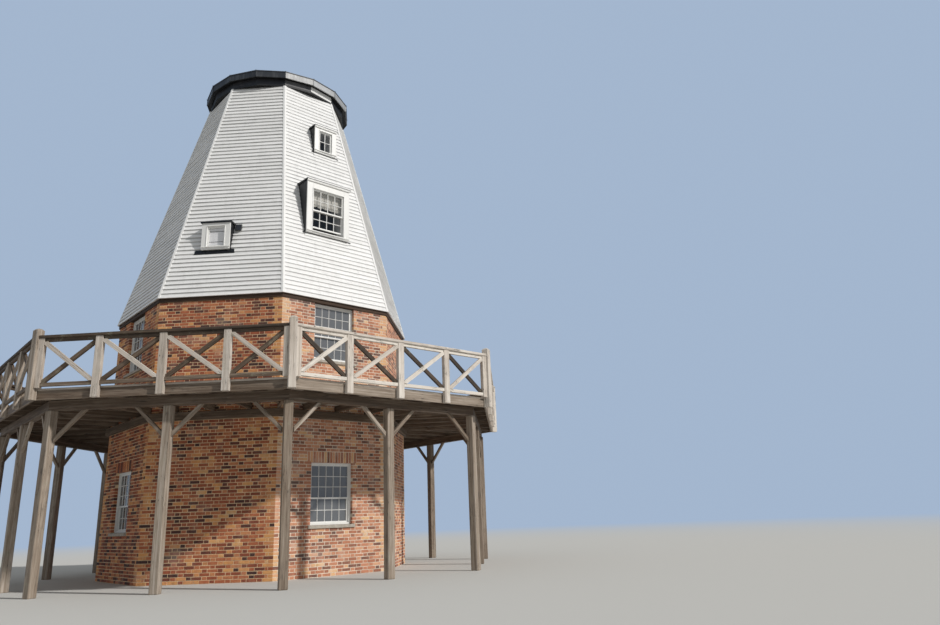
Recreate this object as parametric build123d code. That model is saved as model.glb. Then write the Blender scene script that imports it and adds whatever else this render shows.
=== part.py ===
from build123d import *
from math import atan2, cos, degrees, hypot, pi, sin, tan
import os

# Converted smock windmill, millimetres, +Z up. The origin is on the tower's axis at ground level.
# Side 0 of the octagon faces -Y, and the sides are numbered anticlockwise seen from above.

SIDE_NAMES = ["front", "front_right", "right", "back_right", "back", "back_left", "left", "front_left"]
SIDES = 8
CAP_SIDES = 16

# Brick tower
brick_corner_radius = 3900.0
brick_wall_thickness = 450.0
brick_top = 6380.0

# Timber sill ring between the bricks and the smock
sill_ring_height = 100.0
sill_ring_depth = 250.0
sill_ring_proud = 30.0

# Smock: eight battered sides
smock_bottom_corner_radius = 3945.0
smock_top_corner_radius = 1993.0
smock_height = 6850.0
smock_wall_thickness = 160.0
corner_strip_width = 32.0
corner_strip_thickness = 37.0

# Cap
kerb_height = 215.0
kerb_corner_radius = 2000.0
kerb_depth = 180.0
soffit_thickness = 25.0
soffit_recess = 20.0
fascia_corner_radius = 2130.0
fascia_height = 180.0
fascia_thickness = 28.0
roof_edge_thickness = 25.0
roof_edge_proud = 12.0
roof_rise = 300.0
roof_cap_radius = 150.0
roof_cap_thickness = 40.0

# Floors
ground_floor_thickness = 100.0
timber_floor_thickness = 220.0
deck_level = 3900.0
threshold_step = 50.0
lower_smock_floor_level = 7300.0
upper_smock_floor_level = 10150.0

# Deck
rail_corner_radius = 6756.0
deck_board_thickness = 40.0
deck_seam = 6.0
rim_height = 190.0
rim_thickness = 50.0
joist_height = 150.0
joist_width = 60.0
joists_per_side = 5
beam_height = 200.0
beam_width = 150.0
beam_inset = 320.0
ledger_height = 180.0
ledger_thickness = 100.0
deck_post_width = 175.0
knee_brace_reach = 620.0
knee_brace_width = 100.0
knee_brace_thickness = 75.0

# Railing
rail_height = 1055.0
newel_width = 155.0
newel_above_rail = 145.0
newel_bevel = 35.0
bays_per_side = 4
rail_post_width = 150.0
rail_post_depth = 100.0
end_stud_width = 88.0
handrail_height = 60.0
handrail_width = 140.0
sub_rail_height = 70.0
sub_rail_width = 60.0
bottom_rail_height = 75.0
bottom_rail_clear = 25.0
brace_width = 88.0
brace_thickness = 48.0

# Sash windows in the brick tower, one above the other on every second side
brick_window_width = 1120.0
brick_window_height = 1400.0
brick_window_offset = -60.0
brick_meeting_share = 0.42
ground_window_sill = 1125.0
window_reveal = 90.0
window_frame_width = 40.0
window_frame_depth = 110.0
window_sill_height = 75.0
window_sill_proud = 45.0
window_sill_horn = 60.0
sash_stile = 35.0
sash_thickness = 38.0
sash_gap = 2.0
glass_thickness = 6.0

# Doors on the back side, one at the ground and one on the deck
door_width = 1000.0
door_height = 2050.0
door_frame_width = 70.0
door_frame_depth = 110.0
door_leaf_thickness = 45.0
door_reveal = 120.0
door_gap = 3.0
door_threshold = 30.0

# Dormer boxes on the smock: width, height, foot above the boards' lower edge, place along the side,
# how far the foot stands out, side casing, head casing, and cill
upper_dormer = dict(width=690.0, height=790.0, rise=4700.0, shift=220.0, proud=95.0,
                    side=150.0, head=110.0, cill=70.0)
sash_dormer = dict(width=1270.0, height=1450.0, rise=1890.0, shift=-95.0, proud=115.0,
                   side=175.0, head=210.0, cill=60.0)
small_dormer = dict(width=720.0, height=700.0, rise=1290.0, shift=-315.0, proud=100.0,
                    side=140.0, head=90.0, cill=75.0)
dormer_sash_reveal = 25.0
hood_thickness = 35.0
hood_proud = 45.0
hood_side_proud = 30.0
hood_fall = 25.0
apron_height = 110.0
apron_thickness = 14.0
apron_side_proud = 95.0
meeting_overlap = 32.0
raised_sash_slot = 110.0

# Box vent beside the small dormer
vent_width = 150.0
vent_height = 170.0
vent_depth = 90.0
vent_rise = 1830.0
vent_shift = 170.0

half_turn = pi / SIDES
cap_half_turn = pi / CAP_SIDES


def apothem(corner_radius, half=half_turn):
    """Distance from the axis to the middle of a side."""
    return corner_radius * cos(half)


brick_apothem = apothem(brick_corner_radius)
smock_bottom = brick_top + sill_ring_height
smock_top = smock_bottom + smock_height
vent_foot = smock_bottom + vent_rise
smock_batter = (apothem(smock_bottom_corner_radius) - apothem(smock_top_corner_radius)) / smock_height
rail_apothem = apothem(rail_corner_radius)
rim_apothem = rail_apothem - rail_post_depth / 2
joist_top = deck_level - deck_board_thickness
joist_foot = joist_top - joist_height
beam_foot = joist_foot - beam_height
rail_top = deck_level + rail_height
deck_window_sill = brick_top - brick_window_height


def smock_apothem(z):
    """Outer face of a smock side at height z."""
    return apothem(smock_bottom_corner_radius) - (z - smock_bottom) * smock_batter


def turn(side, count=SIDES):
    """Turn a piece made for the side facing -Y to another side."""
    return Rot(0, 0, side * 360.0 / count)


def wedge(half, gap, out, low, high):
    """The sector of one side well past a distance, with half of a gap left at each of its two mitres."""
    apex = gap / 2 / sin(half)
    reach = 2 * out
    outline = Polyline((0, -apex), (reach * tan(half), -apex - reach), (-reach * tan(half), -apex - reach), close=True)
    return extrude(Plane.XY.offset(low) * make_face(outline), amount=high - low)


def mitred(section, half=half_turn, gap=0.0):
    """Carry a section, given as (distance from the axis, height), along one side of a ring."""
    outline = Polyline(*[(-out, z) for out, z in section], close=True)
    farthest = max(out for out, _ in section)
    bar = extrude(Plane.YZ * make_face(outline), amount=1.5 * farthest * tan(half), both=True)
    low = min(z for _, z in section)
    high = max(z for _, z in section)
    return bar & wedge(half, gap, farthest, low - 1, high + 1)


def block(x_low, x_high, out_low, out_high, z_low, z_high):
    """A box on the -Y side, given by its distances from the axis."""
    size = (x_high - x_low, out_high - out_low, z_high - z_low)
    return Pos((x_low + x_high) / 2, -(out_low + out_high) / 2, (z_low + z_high) / 2) * Box(*size)


def plate(points, out_low, out_high):
    """A flat piece drawn in the plane of the -Y side as (x, z) and given its thickness outwards."""
    outline = make_face(Polyline(*points, close=True))
    return extrude(Plane.XZ.offset(out_low) * outline, amount=out_high - out_low)


def ring_plate(x_low, x_high, z_low, z_high, border, out_low, out_high):
    """A rectangular frame with one opening."""
    left, right, foot, head = border
    outer = block(x_low, x_high, out_low, out_high, z_low, z_high)
    hole = block(x_low + left, x_high - right, out_low - 1, out_high + 1, z_low + foot, z_high - head)
    return outer - hole


def octagon_prism(corner_radius, low, high, top_corner_radius=None):
    """An eight-sided block with sides square to the axes, upright or tapered."""
    foot = Plane.XY.offset(low) * RegularPolygon(corner_radius, SIDES, rotation=degrees(half_turn))
    if top_corner_radius is None:
        return extrude(foot, amount=high - low)
    head = Plane.XY.offset(high) * RegularPolygon(top_corner_radius, SIDES, rotation=degrees(half_turn))
    return loft([foot, head], ruled=True)


# Brick tower

window_sides = [1, 3, 5, 7]
door_side = SIDE_NAMES.index("back")
door_sills = [ground_floor_thickness, deck_level + threshold_step]
window_sills_at = [ground_window_sill, deck_window_sill]
window_left = brick_window_offset - brick_window_width / 2
window_right = brick_window_offset + brick_window_width / 2
wall_inner = brick_apothem - brick_wall_thickness


def brick_wall(side):
    """One side of the brick tower with its windows or doors cut through."""
    wall = mitred([(brick_apothem, 0), (brick_apothem, brick_top), (wall_inner, brick_top), (wall_inner, 0)])
    if side in window_sides:
        for sill in window_sills_at:
            wall -= block(window_left, window_right, wall_inner - 10, brick_apothem + 10, sill,
                          sill + brick_window_height)
            wall -= block(window_left - window_sill_horn, window_right + window_sill_horn,
                          brick_apothem - window_reveal, brick_apothem + 10, sill - window_sill_height, sill)
    if side == door_side:
        for sill in door_sills:
            wall -= block(-door_width / 2, door_width / 2, wall_inner - 10, brick_apothem + 10, sill,
                          sill + door_height)
    return turn(side) * wall


# Smock

dormers = {0: [small_dormer], 1: [upper_dormer, sash_dormer], 4: [small_dormer], 5: [upper_dormer, sash_dormer]}


def dormer_foot(d):
    """Height of a dormer's foot above the ground."""
    return smock_bottom + d["rise"]


def dormer_front(d):
    """Distance from the axis to a dormer's upright front."""
    return smock_apothem(dormer_foot(d)) + d["proud"]


def dormer_hole(d):
    """The clear opening of a dormer: left, right, foot and head."""
    left = d["shift"] - d["width"] / 2 + d["side"]
    right = d["shift"] + d["width"] / 2 - d["side"]
    return left, right, dormer_foot(d) + d["cill"], dormer_foot(d) + d["height"] - d["head"]


def smock_wall(side):
    """One battered side of the smock with its dormer openings."""
    foot_out, head_out = smock_apothem(smock_bottom), smock_apothem(smock_top)
    section = [(foot_out, smock_bottom), (head_out, smock_top),
               (head_out - smock_wall_thickness, smock_top), (foot_out - smock_wall_thickness, smock_bottom)]
    wall = mitred(section)
    for d in dormers.get(side, []):
        left, right, foot, head = dormer_hole(d)
        wall -= block(left, right, smock_apothem(head) - 2 * smock_wall_thickness, dormer_front(d), foot, head)
    return turn(side) * wall


def corner_strip():
    """A slim cover strip over the arris between sides 0 and 1, folded to both boardings."""
    radius = smock_bottom_corner_radius
    corner = Vector(radius * sin(half_turn), -radius * cos(half_turn), smock_bottom)
    along = [Vector(-1, 0, 0), Vector(cos(2 * half_turn), sin(2 * half_turn), 0)]
    out = [Vector(0, -1, 0), Vector(sin(2 * half_turn), -cos(2 * half_turn), 0)]
    inner = [corner + a * corner_strip_width for a in along]
    outer = [corner + a * corner_strip_width + o * corner_strip_thickness for a, o in zip(along, out)]
    peak = corner + Vector(sin(half_turn), -cos(half_turn), 0) * (corner_strip_thickness / cos(half_turn))
    outline = make_face(Polyline(inner[0], corner, inner[1], outer[1], peak, outer[0], close=True))
    head_radius = smock_top_corner_radius
    head = Vector(head_radius * sin(half_turn), -head_radius * cos(half_turn), smock_top)
    rise = head - corner
    return extrude(outline, amount=rise.length, dir=rise.normalized())


# Dormers

def dormer_box(d):
    """Cheeks, head, cill and casing of one dormer, with its back on the battered wall."""
    front = dormer_front(d)
    foot, head = dormer_foot(d), dormer_foot(d) + d["height"]
    profile = [(-front, foot), (-front, head), (-smock_apothem(head), head), (-smock_apothem(foot), foot)]
    outline = Plane.YZ.offset(d["shift"]) * make_face(Polyline(*profile, close=True))
    box = extrude(outline, amount=d["width"] / 2, both=True)
    left, right, low, high = dormer_hole(d)
    return box - block(left, right, smock_apothem(head) - 10, front + 10, low, high)


def dormer_sash(d, sliding):
    """The glazed sash, or pair of sliding sashes, that fills a dormer."""
    left, right, low, high = dormer_hole(d)
    outer = dormer_front(d) - dormer_sash_reveal
    if not sliding:
        return [sash(left, right, low, high, outer)]
    middle = (low + high) / 2
    upper = sash(left, right, middle - meeting_overlap / 2, high, outer)
    lower = sash(left, right, low + raised_sash_slot, middle + meeting_overlap / 2,
                 outer - sash_thickness - sash_gap)
    return [upper, lower]


def sash(left, right, low, high, outer):
    """One glazed sash: its frame and its sheet of glass, seated in the frame's rebate."""
    border = (sash_stile, sash_stile, sash_stile, sash_stile)
    frame = ring_plate(left, right, low, high, border, outer - sash_thickness, outer)
    middle = outer - sash_thickness / 2
    glass = block(left + sash_stile, right - sash_stile, middle - glass_thickness / 2, middle + glass_thickness / 2,
                  low + sash_stile, high - sash_stile)
    return frame, glass


def dormer_hood(d):
    """Lead-covered board on top of a dormer, with a slight fall to the front."""
    front, head = dormer_front(d), dormer_foot(d) + d["height"]
    lip = front + hood_proud
    back_high = head + hood_thickness + hood_fall
    profile = [(-lip, head), (-lip, head + hood_thickness), (-smock_apothem(back_high), back_high),
               (-smock_apothem(head), head)]
    outline = Plane.YZ.offset(d["shift"]) * make_face(Polyline(*profile, close=True))
    return extrude(outline, amount=d["width"] / 2 + hood_side_proud, both=True)


def dormer_apron(d):
    """Lead apron dressed down the boards under a dormer."""
    foot, low = dormer_foot(d), dormer_foot(d) - apron_height
    profile = [(-smock_apothem(foot), foot), (-smock_apothem(foot) - apron_thickness, foot),
               (-smock_apothem(low) - apron_thickness, low), (-smock_apothem(low), low)]
    outline = Plane.YZ.offset(d["shift"]) * make_face(Polyline(*profile, close=True))
    return extrude(outline, amount=d["width"] / 2 + apron_side_proud, both=True)


def box_vent():
    """Small box vent on the front side's boards, open underneath."""
    head = vent_foot + vent_height
    front = smock_apothem(vent_foot) + vent_depth
    profile = [(-front, vent_foot), (-smock_apothem(head) - vent_depth, head), (-smock_apothem(head), head),
               (-smock_apothem(vent_foot), vent_foot)]
    outline = Plane.YZ.offset(vent_shift) * make_face(Polyline(*profile, close=True))
    return extrude(outline, amount=vent_width / 2, both=True)


# Windows in the brick tower

def brick_window(sill):
    """Frame and two glazed sashes of one window in side 0."""
    outer = brick_apothem - window_reveal
    head = sill + brick_window_height
    w = window_frame_width
    frame = ring_plate(window_left, window_right, sill, head, (w, w, w, w), outer - window_frame_depth, outer)
    left, right, low, high = window_left + w, window_right - w, sill + w, head - w
    middle = low + (high - low) * brick_meeting_share
    sash_outer = outer - window_frame_depth / 2 + sash_thickness
    upper = sash(left, right, middle - meeting_overlap / 2, high, sash_outer)
    lower = sash(left, right, low, middle + meeting_overlap / 2, sash_outer - sash_thickness - sash_gap)
    return frame, [upper, lower]


def window_sill(sill):
    """Sloping sill laid under a window frame, out past the bricks."""
    back = brick_apothem - window_reveal
    lip = brick_apothem + window_sill_proud
    fall = window_sill_height / 5
    profile = [(-lip, sill - window_sill_height), (-lip, sill - fall), (-back, sill), (-back, sill - window_sill_height)]
    outline = Plane.YZ.offset(brick_window_offset) * make_face(Polyline(*profile, close=True))
    return extrude(outline, amount=brick_window_width / 2 + window_sill_horn, both=True)


# Doors

def door(sill):
    """Frame and closed leaf of one door in side 0."""
    outer = brick_apothem - door_reveal
    left, right, head = -door_width / 2, door_width / 2, sill + door_height
    w = door_frame_width
    frame = ring_plate(left, right, sill, head, (w, w, door_threshold, w), outer - door_frame_depth, outer)
    low, high = sill + door_threshold, head - w - door_gap
    leaf = block(left + w + door_gap, right - w - door_gap, outer - door_leaf_thickness, outer, low, high)
    return frame, leaf


# Cap

kerb_top = smock_top + kerb_height
fascia_foot = kerb_top - soffit_recess
fascia_top = fascia_foot + fascia_height
roof_top = fascia_top + roof_edge_thickness
roof_out = apothem(fascia_corner_radius, cap_half_turn) + roof_edge_proud


def roof_underside(out):
    """Height of the roof panels' underside at a distance from the axis."""
    return fascia_top + roof_rise * (roof_out - out) / roof_out


roof_seat = roof_underside(roof_cap_radius) + roof_edge_thickness


def kerb_segment(index):
    """One of the sixteen curved timbers of the kerb ring."""
    out = apothem(kerb_corner_radius, cap_half_turn)
    section = [(out, smock_top), (out, kerb_top), (out - kerb_depth, kerb_top), (out - kerb_depth, smock_top)]
    return turn(index + 0.5, CAP_SIDES) * mitred(section, cap_half_turn, 1.0)


def soffit_segment(index):
    """One board of the soffit between the kerb and the fascia."""
    inner = apothem(kerb_corner_radius, cap_half_turn) - kerb_depth
    out = apothem(fascia_corner_radius, cap_half_turn) - fascia_thickness
    section = [(out, kerb_top), (out, kerb_top + soffit_thickness), (inner, kerb_top + soffit_thickness),
               (inner, kerb_top)]
    return turn(index + 0.5, CAP_SIDES) * mitred(section, cap_half_turn, 1.0)


def fascia_board(index):
    """One board of the sixteen-sided fascia, its head bevelled to the roof panels."""
    out = apothem(fascia_corner_radius, cap_half_turn)
    inner = out - fascia_thickness
    section = [(out, fascia_foot), (out, roof_underside(out)), (inner, roof_underside(inner)), (inner, fascia_foot)]
    return turn(index + 0.5, CAP_SIDES) * mitred(section, cap_half_turn, 1.0)


def roof_panel(index):
    """One sloping panel of the low cap roof, levelled off under the centre cap."""
    inner = roof_cap_radius / 2
    section = [(roof_out, roof_underside(roof_out)), (roof_out, roof_top), (roof_cap_radius, roof_seat),
               (inner, roof_seat), (inner, roof_underside(inner))]
    return turn(index + 0.5, CAP_SIDES) * mitred(section, cap_half_turn, 1.0)


def roof_cap():
    """Low round lead cap where the roof panels meet."""
    edge = roof_cap_thickness / 4
    profile = Polyline((0, roof_seat), (roof_cap_radius, roof_seat), (roof_cap_radius, roof_seat + edge),
                       (0, roof_seat + roof_cap_thickness), close=True)
    return revolve(Plane.XZ * make_face(profile), Axis.Z)


# Floors

def timber_floor(level):
    """Eight-sided floor that meets the walls, upright in the bricks and battered in the smock."""
    low = level - timber_floor_thickness
    if level < smock_bottom:
        return octagon_prism(wall_inner / cos(half_turn), low, level)
    radii = [(smock_apothem(z) - smock_wall_thickness) / cos(half_turn) for z in (low, level)]
    return octagon_prism(radii[0], low, level, radii[1])


# Deck

def deck_plate():
    """Deck boards of one side, from the bricks to the rim."""
    section = [(rim_apothem, joist_top), (rim_apothem, deck_level), (brick_apothem, deck_level),
               (brick_apothem, joist_top)]
    return mitred(section, gap=deck_seam)


def rim_board():
    """Board round the deck's edge, under the deck boards."""
    section = [(rim_apothem, joist_top - rim_height), (rim_apothem, joist_top), (rim_apothem - rim_thickness, joist_top),
               (rim_apothem - rim_thickness, joist_top - rim_height)]
    return mitred(section, gap=1.0)


def ledger():
    """Bearer bolted to the bricks under the joists."""
    out = brick_apothem + ledger_thickness
    section = [(brick_apothem, joist_foot - ledger_height), (brick_apothem, joist_foot), (out, joist_foot),
               (out, joist_foot - ledger_height)]
    return mitred(section, gap=1.0)


beam_out = rim_apothem - beam_inset
beam_in = beam_out - beam_width
beam_middle = (beam_out + beam_in) / 2


def outer_beam():
    """Beam on the deck posts that carries the joists' outer ends."""
    section = [(beam_in, beam_foot), (beam_out, beam_foot), (beam_out, joist_foot), (beam_in, joist_foot)]
    return mitred(section, gap=1.0)


def joists():
    """Joists of one side, square to the wall, cut back at the two hips."""
    clear = wedge(half_turn, joist_width + 2 * deck_seam, rim_apothem, joist_foot - 1, joist_top + 1)
    spread = 2 * rim_apothem * tan(half_turn)
    pieces = []
    for i in range(joists_per_side):
        x = (i - (joists_per_side - 1) / 2) * spread / (joists_per_side + 1)
        bar = block(x - joist_width / 2, x + joist_width / 2, brick_apothem, rim_apothem - rim_thickness, joist_foot,
                    joist_top)
        pieces.append(bar & clear)
    return pieces


def hip_joist():
    """Joist under the seam between two sides, from the brick corner to the rim corner."""
    start = brick_corner_radius
    end = (rim_apothem - rim_thickness) / cos(half_turn)
    bar = block(-joist_width / 2, joist_width / 2, start - joist_width / 2, end + joist_width, joist_foot, joist_top)
    bar = turn(0.5) * bar
    inside = octagon_prism((rim_apothem - rim_thickness) / cos(half_turn), joist_foot - 1, joist_top + 1)
    outside = octagon_prism(brick_corner_radius, joist_foot - 2, joist_top + 2)
    return (bar & inside) - outside


def deck_post(half_step):
    """Post under the outer beam, at a corner or in the middle of a side."""
    at_corner = half_step % 2 == 1
    radius = beam_middle / cos(half_turn) if at_corner else beam_middle
    half = deck_post_width / 2
    return turn(half_step / 2) * block(-half, half, radius - half, radius + half, 0, beam_foot)


def knee_braces():
    """Two braces from the middle post and one from each corner post of a side, up to the beam."""
    pieces = []
    half = deck_post_width / 2
    corner = beam_middle * tan(half_turn)
    corner_face = corner - half * (cos(half_turn) + sin(half_turn) * tan(half_turn)) - joist_width / 3
    starts = [(half, 1), (-half, -1), (corner_face, -1), (-corner_face, 1)]
    low = beam_foot - knee_brace_reach
    w = knee_brace_width
    for x, way in starts:
        points = [(x, low), (x, low + w), (x + way * (knee_brace_reach - w), beam_foot),
                  (x + way * knee_brace_reach, beam_foot)]
        out = beam_middle - knee_brace_thickness / 2
        pieces.append(plate(points, out, out + knee_brace_thickness))
    return pieces


# Railing

def newel():
    """Corner post with a bevelled head, notched over the deck's corner."""
    half = newel_width / 2
    head = rail_top + newel_above_rail
    foot = joist_top - rim_height
    post = block(-half, half, rail_corner_radius - half, rail_corner_radius + half, foot, head - newel_bevel)
    low = Plane.XY.offset(head - newel_bevel) * Pos(0, -rail_corner_radius) * Rectangle(newel_width, newel_width)
    inset = newel_width - 2 * newel_bevel
    high = Plane.XY.offset(head) * Pos(0, -rail_corner_radius) * Rectangle(inset, inset)
    post = post + loft([low, high], ruled=True)
    return turn(0.5) * post - octagon_prism(rim_apothem / cos(half_turn), foot - 1, deck_level)


def bay_brace(x_low, x_high, z_low, z_high, rising, out_low):
    """Diagonal plank across one bay, trimmed to the posts and rails round it."""
    run, rise = x_high - x_low, z_high - z_low
    angle = degrees(atan2(rise, run)) * (1 if rising else -1)
    middle = Pos((x_low + x_high) / 2, -(out_low + brace_thickness / 2), (z_low + z_high) / 2)
    plank = middle * Rot(0, -angle, 0) * Box(2 * hypot(run, rise), brace_thickness, brace_width)
    return plank & block(x_low, x_high, out_low, out_low + brace_thickness, z_low, z_high)


def railing(side):
    """The braced railing of one side, cut to the cheeks of its two corner posts."""
    length = 2 * rail_apothem * tan(half_turn)
    bay = length / bays_per_side
    centre, half_depth = rail_apothem, rail_post_depth / 2
    foot = joist_top - rim_height
    under_rail = rail_top - handrail_height
    sub_foot = under_rail - sub_rail_height
    low_foot = deck_level + bottom_rail_clear
    low_top = low_foot + bottom_rail_height
    half_sub = sub_rail_width / 2
    long_half = length / 2
    frame = block(-long_half, long_half, centre - handrail_width / 2, centre + handrail_width / 2, under_rail, rail_top)
    frame += block(-long_half, long_half, centre - half_sub, centre + half_sub, sub_foot, under_rail)
    frame += block(-long_half, long_half, centre - half_sub, centre + half_sub, low_foot, low_top)
    edges = []
    for i in range(1, bays_per_side):
        x = -long_half + i * bay
        edges.append((x - rail_post_width / 2, x + rail_post_width / 2))
    stud_edge = long_half - newel_width / 2 / cos(half_turn) - end_stud_width
    edges = [(-long_half, -stud_edge), *edges, (stud_edge, long_half)]
    for i, (x_low, x_high) in enumerate(edges):
        at_end = i in (0, len(edges) - 1)
        post_foot = deck_level if at_end else foot
        out_low = centre - half_depth
        frame += block(x_low, x_high, out_low, centre + half_depth, post_foot, under_rail)
    rising_outside = side % 2 == 1
    for (_, x_low), (x_high, _) in zip(edges, edges[1:]):
        for rising in (True, False):
            out_low = centre if rising == rising_outside else centre - brace_thickness
            frame += bay_brace(x_low, x_high, low_top, sub_foot, rising, out_low)
    return turn(side) * (frame & wedge(half_turn, newel_width, centre, foot - 1, rail_top + 1))


# Write every piece

def write(name, *shapes):
    """Write one node; several solids share a file only where they don't touch."""
    solids = [s for shape in shapes for s in shape.solids()]
    for solid in solids:
        assert solid.is_valid, name
    export_step(solids[0] if len(solids) == 1 else Compound(children=solids), f"parts/{name}.step")


def around(make, count=SIDES):
    """Repeat a piece made for side 0 on every side."""
    return [turn(i, count) * make for i in range(count)]


def main():
    os.makedirs("parts", exist_ok=True)

    for side, name in enumerate(SIDE_NAMES):
        write(f"brick_wall_{name}", brick_wall(side))
        write(f"smock_wall_{name}", smock_wall(side))
        write(f"railing_{name}", railing(side))

    sill_out = brick_apothem + sill_ring_proud
    sill_section = [(sill_out, brick_top), (sill_out, smock_bottom), (sill_out - sill_ring_depth, smock_bottom),
                    (sill_out - sill_ring_depth, brick_top)]
    write("sill_ring", *around(mitred(sill_section, gap=1.0)))
    write("corner_strips", *around(corner_strip()))

    write("kerb_ring", *[kerb_segment(i) for i in range(CAP_SIDES)])
    write("cap_soffit", *[soffit_segment(i) for i in range(CAP_SIDES)])
    write("cap_fascia", *[fascia_board(i) for i in range(CAP_SIDES)])
    write("cap_roof", *[roof_panel(i) for i in range(CAP_SIDES)])
    write("cap_centre", roof_cap())

    write("ground_floor", octagon_prism(wall_inner / cos(half_turn), 0, ground_floor_thickness))
    levels = [deck_level + threshold_step, lower_smock_floor_level, upper_smock_floor_level]
    write("timber_floors", *[timber_floor(level) for level in levels])

    write("deck_boards", *around(deck_plate()))
    write("deck_rim", *around(rim_board()))
    write("deck_ledgers", *around(ledger()))
    write("deck_beams", *around(outer_beam()))
    bars = [turn(i) * bar for i in range(SIDES) for bar in [*joists(), hip_joist()]]
    write("deck_joists", *bars)
    write("deck_posts", *[deck_post(i) for i in range(2 * SIDES)])
    write("deck_knee_braces", *[turn(i) * brace for i in range(SIDES) for brace in knee_braces()])
    write("corner_posts", *around(newel()))

    frames, sashes, panes, sills = [], [], [], []
    for side in window_sides:
        for level in window_sills_at:
            frame, pair = brick_window(level)
            frames.append(turn(side) * frame)
            sashes += [turn(side) * part for part, _ in pair]
            panes += [turn(side) * glass for _, glass in pair]
            sills.append(turn(side) * window_sill(level))
    write("brick_window_frames", *frames)
    write("brick_window_sashes", *sashes)

    boxes, dormer_sashes, hoods, aprons = [], [], [], []
    for side, row in dormers.items():
        for d in row:
            boxes.append(turn(side) * dormer_box(d))
            hoods.append(turn(side) * dormer_hood(d))
            aprons.append(turn(side) * dormer_apron(d))
            row_sashes = dormer_sash(d, d is sash_dormer)
            dormer_sashes += [turn(side) * part for part, _ in row_sashes]
            panes += [turn(side) * glass for _, glass in row_sashes]
    write("dormer_boxes", *boxes)
    write("dormer_sashes", *dormer_sashes)
    write("dormer_hoods", *hoods)
    write("dormer_aprons", *aprons)
    write("window_glass", *panes)
    write("window_sills", *sills)
    write("wall_vent", box_vent())

    door_pieces = [door(sill) for sill in door_sills]
    write("door_frames", *[turn(door_side) * frame for frame, _ in door_pieces])
    write("doors", *[turn(door_side) * leaf for _, leaf in door_pieces])


main()
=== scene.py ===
"""Looks of a converted smock windmill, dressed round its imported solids.

Lengths are metres. Z is up, the octagon's first side faces -Y, and the sides are numbered
anticlockwise seen from above. A side's own axes are (along, outwards, up): along runs to the
right for someone who faces the side from outside, and outwards is measured from the mill's axis.
"""

from __future__ import annotations

import logging
import math
from collections.abc import Callable
from dataclasses import dataclass
from enum import Enum, IntEnum

import bpy
import numpy as np
from mathutils import Matrix, Vector

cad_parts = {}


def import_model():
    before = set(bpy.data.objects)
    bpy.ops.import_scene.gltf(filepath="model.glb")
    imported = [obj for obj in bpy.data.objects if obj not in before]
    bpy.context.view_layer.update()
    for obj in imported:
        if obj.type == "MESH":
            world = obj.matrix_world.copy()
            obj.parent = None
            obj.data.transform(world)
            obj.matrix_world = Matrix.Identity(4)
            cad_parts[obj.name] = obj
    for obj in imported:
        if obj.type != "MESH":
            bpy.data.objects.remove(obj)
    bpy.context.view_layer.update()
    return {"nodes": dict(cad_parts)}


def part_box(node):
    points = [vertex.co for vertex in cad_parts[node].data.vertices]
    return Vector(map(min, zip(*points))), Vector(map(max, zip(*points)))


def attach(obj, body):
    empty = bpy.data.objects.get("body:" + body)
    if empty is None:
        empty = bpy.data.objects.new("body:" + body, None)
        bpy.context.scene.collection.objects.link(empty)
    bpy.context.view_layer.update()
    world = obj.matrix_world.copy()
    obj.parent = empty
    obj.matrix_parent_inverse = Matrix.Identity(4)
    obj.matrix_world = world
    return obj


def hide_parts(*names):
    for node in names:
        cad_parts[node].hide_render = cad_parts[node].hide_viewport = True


LOG = logging.getLogger("windmill")

SIDES = 8
CAP_SIDES = 16
HALF_SIDE = math.pi / SIDES
SLANT = math.tan(HALF_SIDE)
APOTHEM = math.cos(HALF_SIDE)
HALF_FACET = math.pi / CAP_SIDES
CAP_SLANT = math.tan(HALF_FACET)
CAP_APOTHEM = math.cos(HALF_FACET)
SUN_SIDE = math.radians(65)
ALONG, OUT, UP = np.eye(3)
MITRE_GAP = 0.0005
PATTERN_SPAN = 50
DIRECT_RAYS = "Camera", "Glossy", "Transmission"

Array = np.ndarray
Rng = np.random.Generator
Swept = tuple[np.ndarray, np.ndarray]
Part = tuple[Swept, np.ndarray | float]
Pair = tuple[float, float]
Hole = tuple[float, float, float, float]
Socket = bpy.types.NodeSocket
Outputs = bpy.types.NodeOutputs
Colour = tuple[float, float, float]
Stops = tuple[tuple[float, Colour], ...]


class Side(IntEnum):
    """The octagon's sides, named for where they face."""

    FRONT = 0
    FRONT_RIGHT = 1
    RIGHT = 2
    BACK_RIGHT = 3
    BACK = 4
    BACK_LEFT = 5
    LEFT = 6
    FRONT_LEFT = 7

    @property
    def label(self) -> str:
        """The side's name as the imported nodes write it."""
        return self.name.lower()

    @property
    def angle(self) -> float:
        """The turn from the first side to this one, in radians."""
        return self.value * math.tau / SIDES


SUNNY = (Side.FRONT_RIGHT, Side.RIGHT)
WINDOWED = (Side.FRONT_RIGHT, Side.BACK_RIGHT, Side.BACK_LEFT, Side.FRONT_LEFT)


class Slot(str, Enum):
    """The record's material slots, which new pieces name but do not use."""

    BRICK = "brick"
    WHITE_BOARDS = "white_boards"
    WHITE_JOINERY = "white_joinery"
    DARK_JOINERY = "dark_joinery"
    WEATHERED_OAK = "weathered_oak"
    DARK_OAK = "dark_oak"
    KERB_PAINT = "kerb_paint"
    LEAD = "lead"


class Place(Enum):
    """What a finish takes its pattern's place from."""

    OWN_GRAIN = "Attribute", "Vector", {"attribute_name": "grain"}
    OBJECT = "TexCoord", "Object", {}


# Arrays of points


def at(along: Array | float, out: Array | float, up: Array | float) -> Array:
    """Points from their three coordinates, each of them one number or an array."""
    return np.stack(np.broadcast_arrays(along, out, up), -1)


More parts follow.
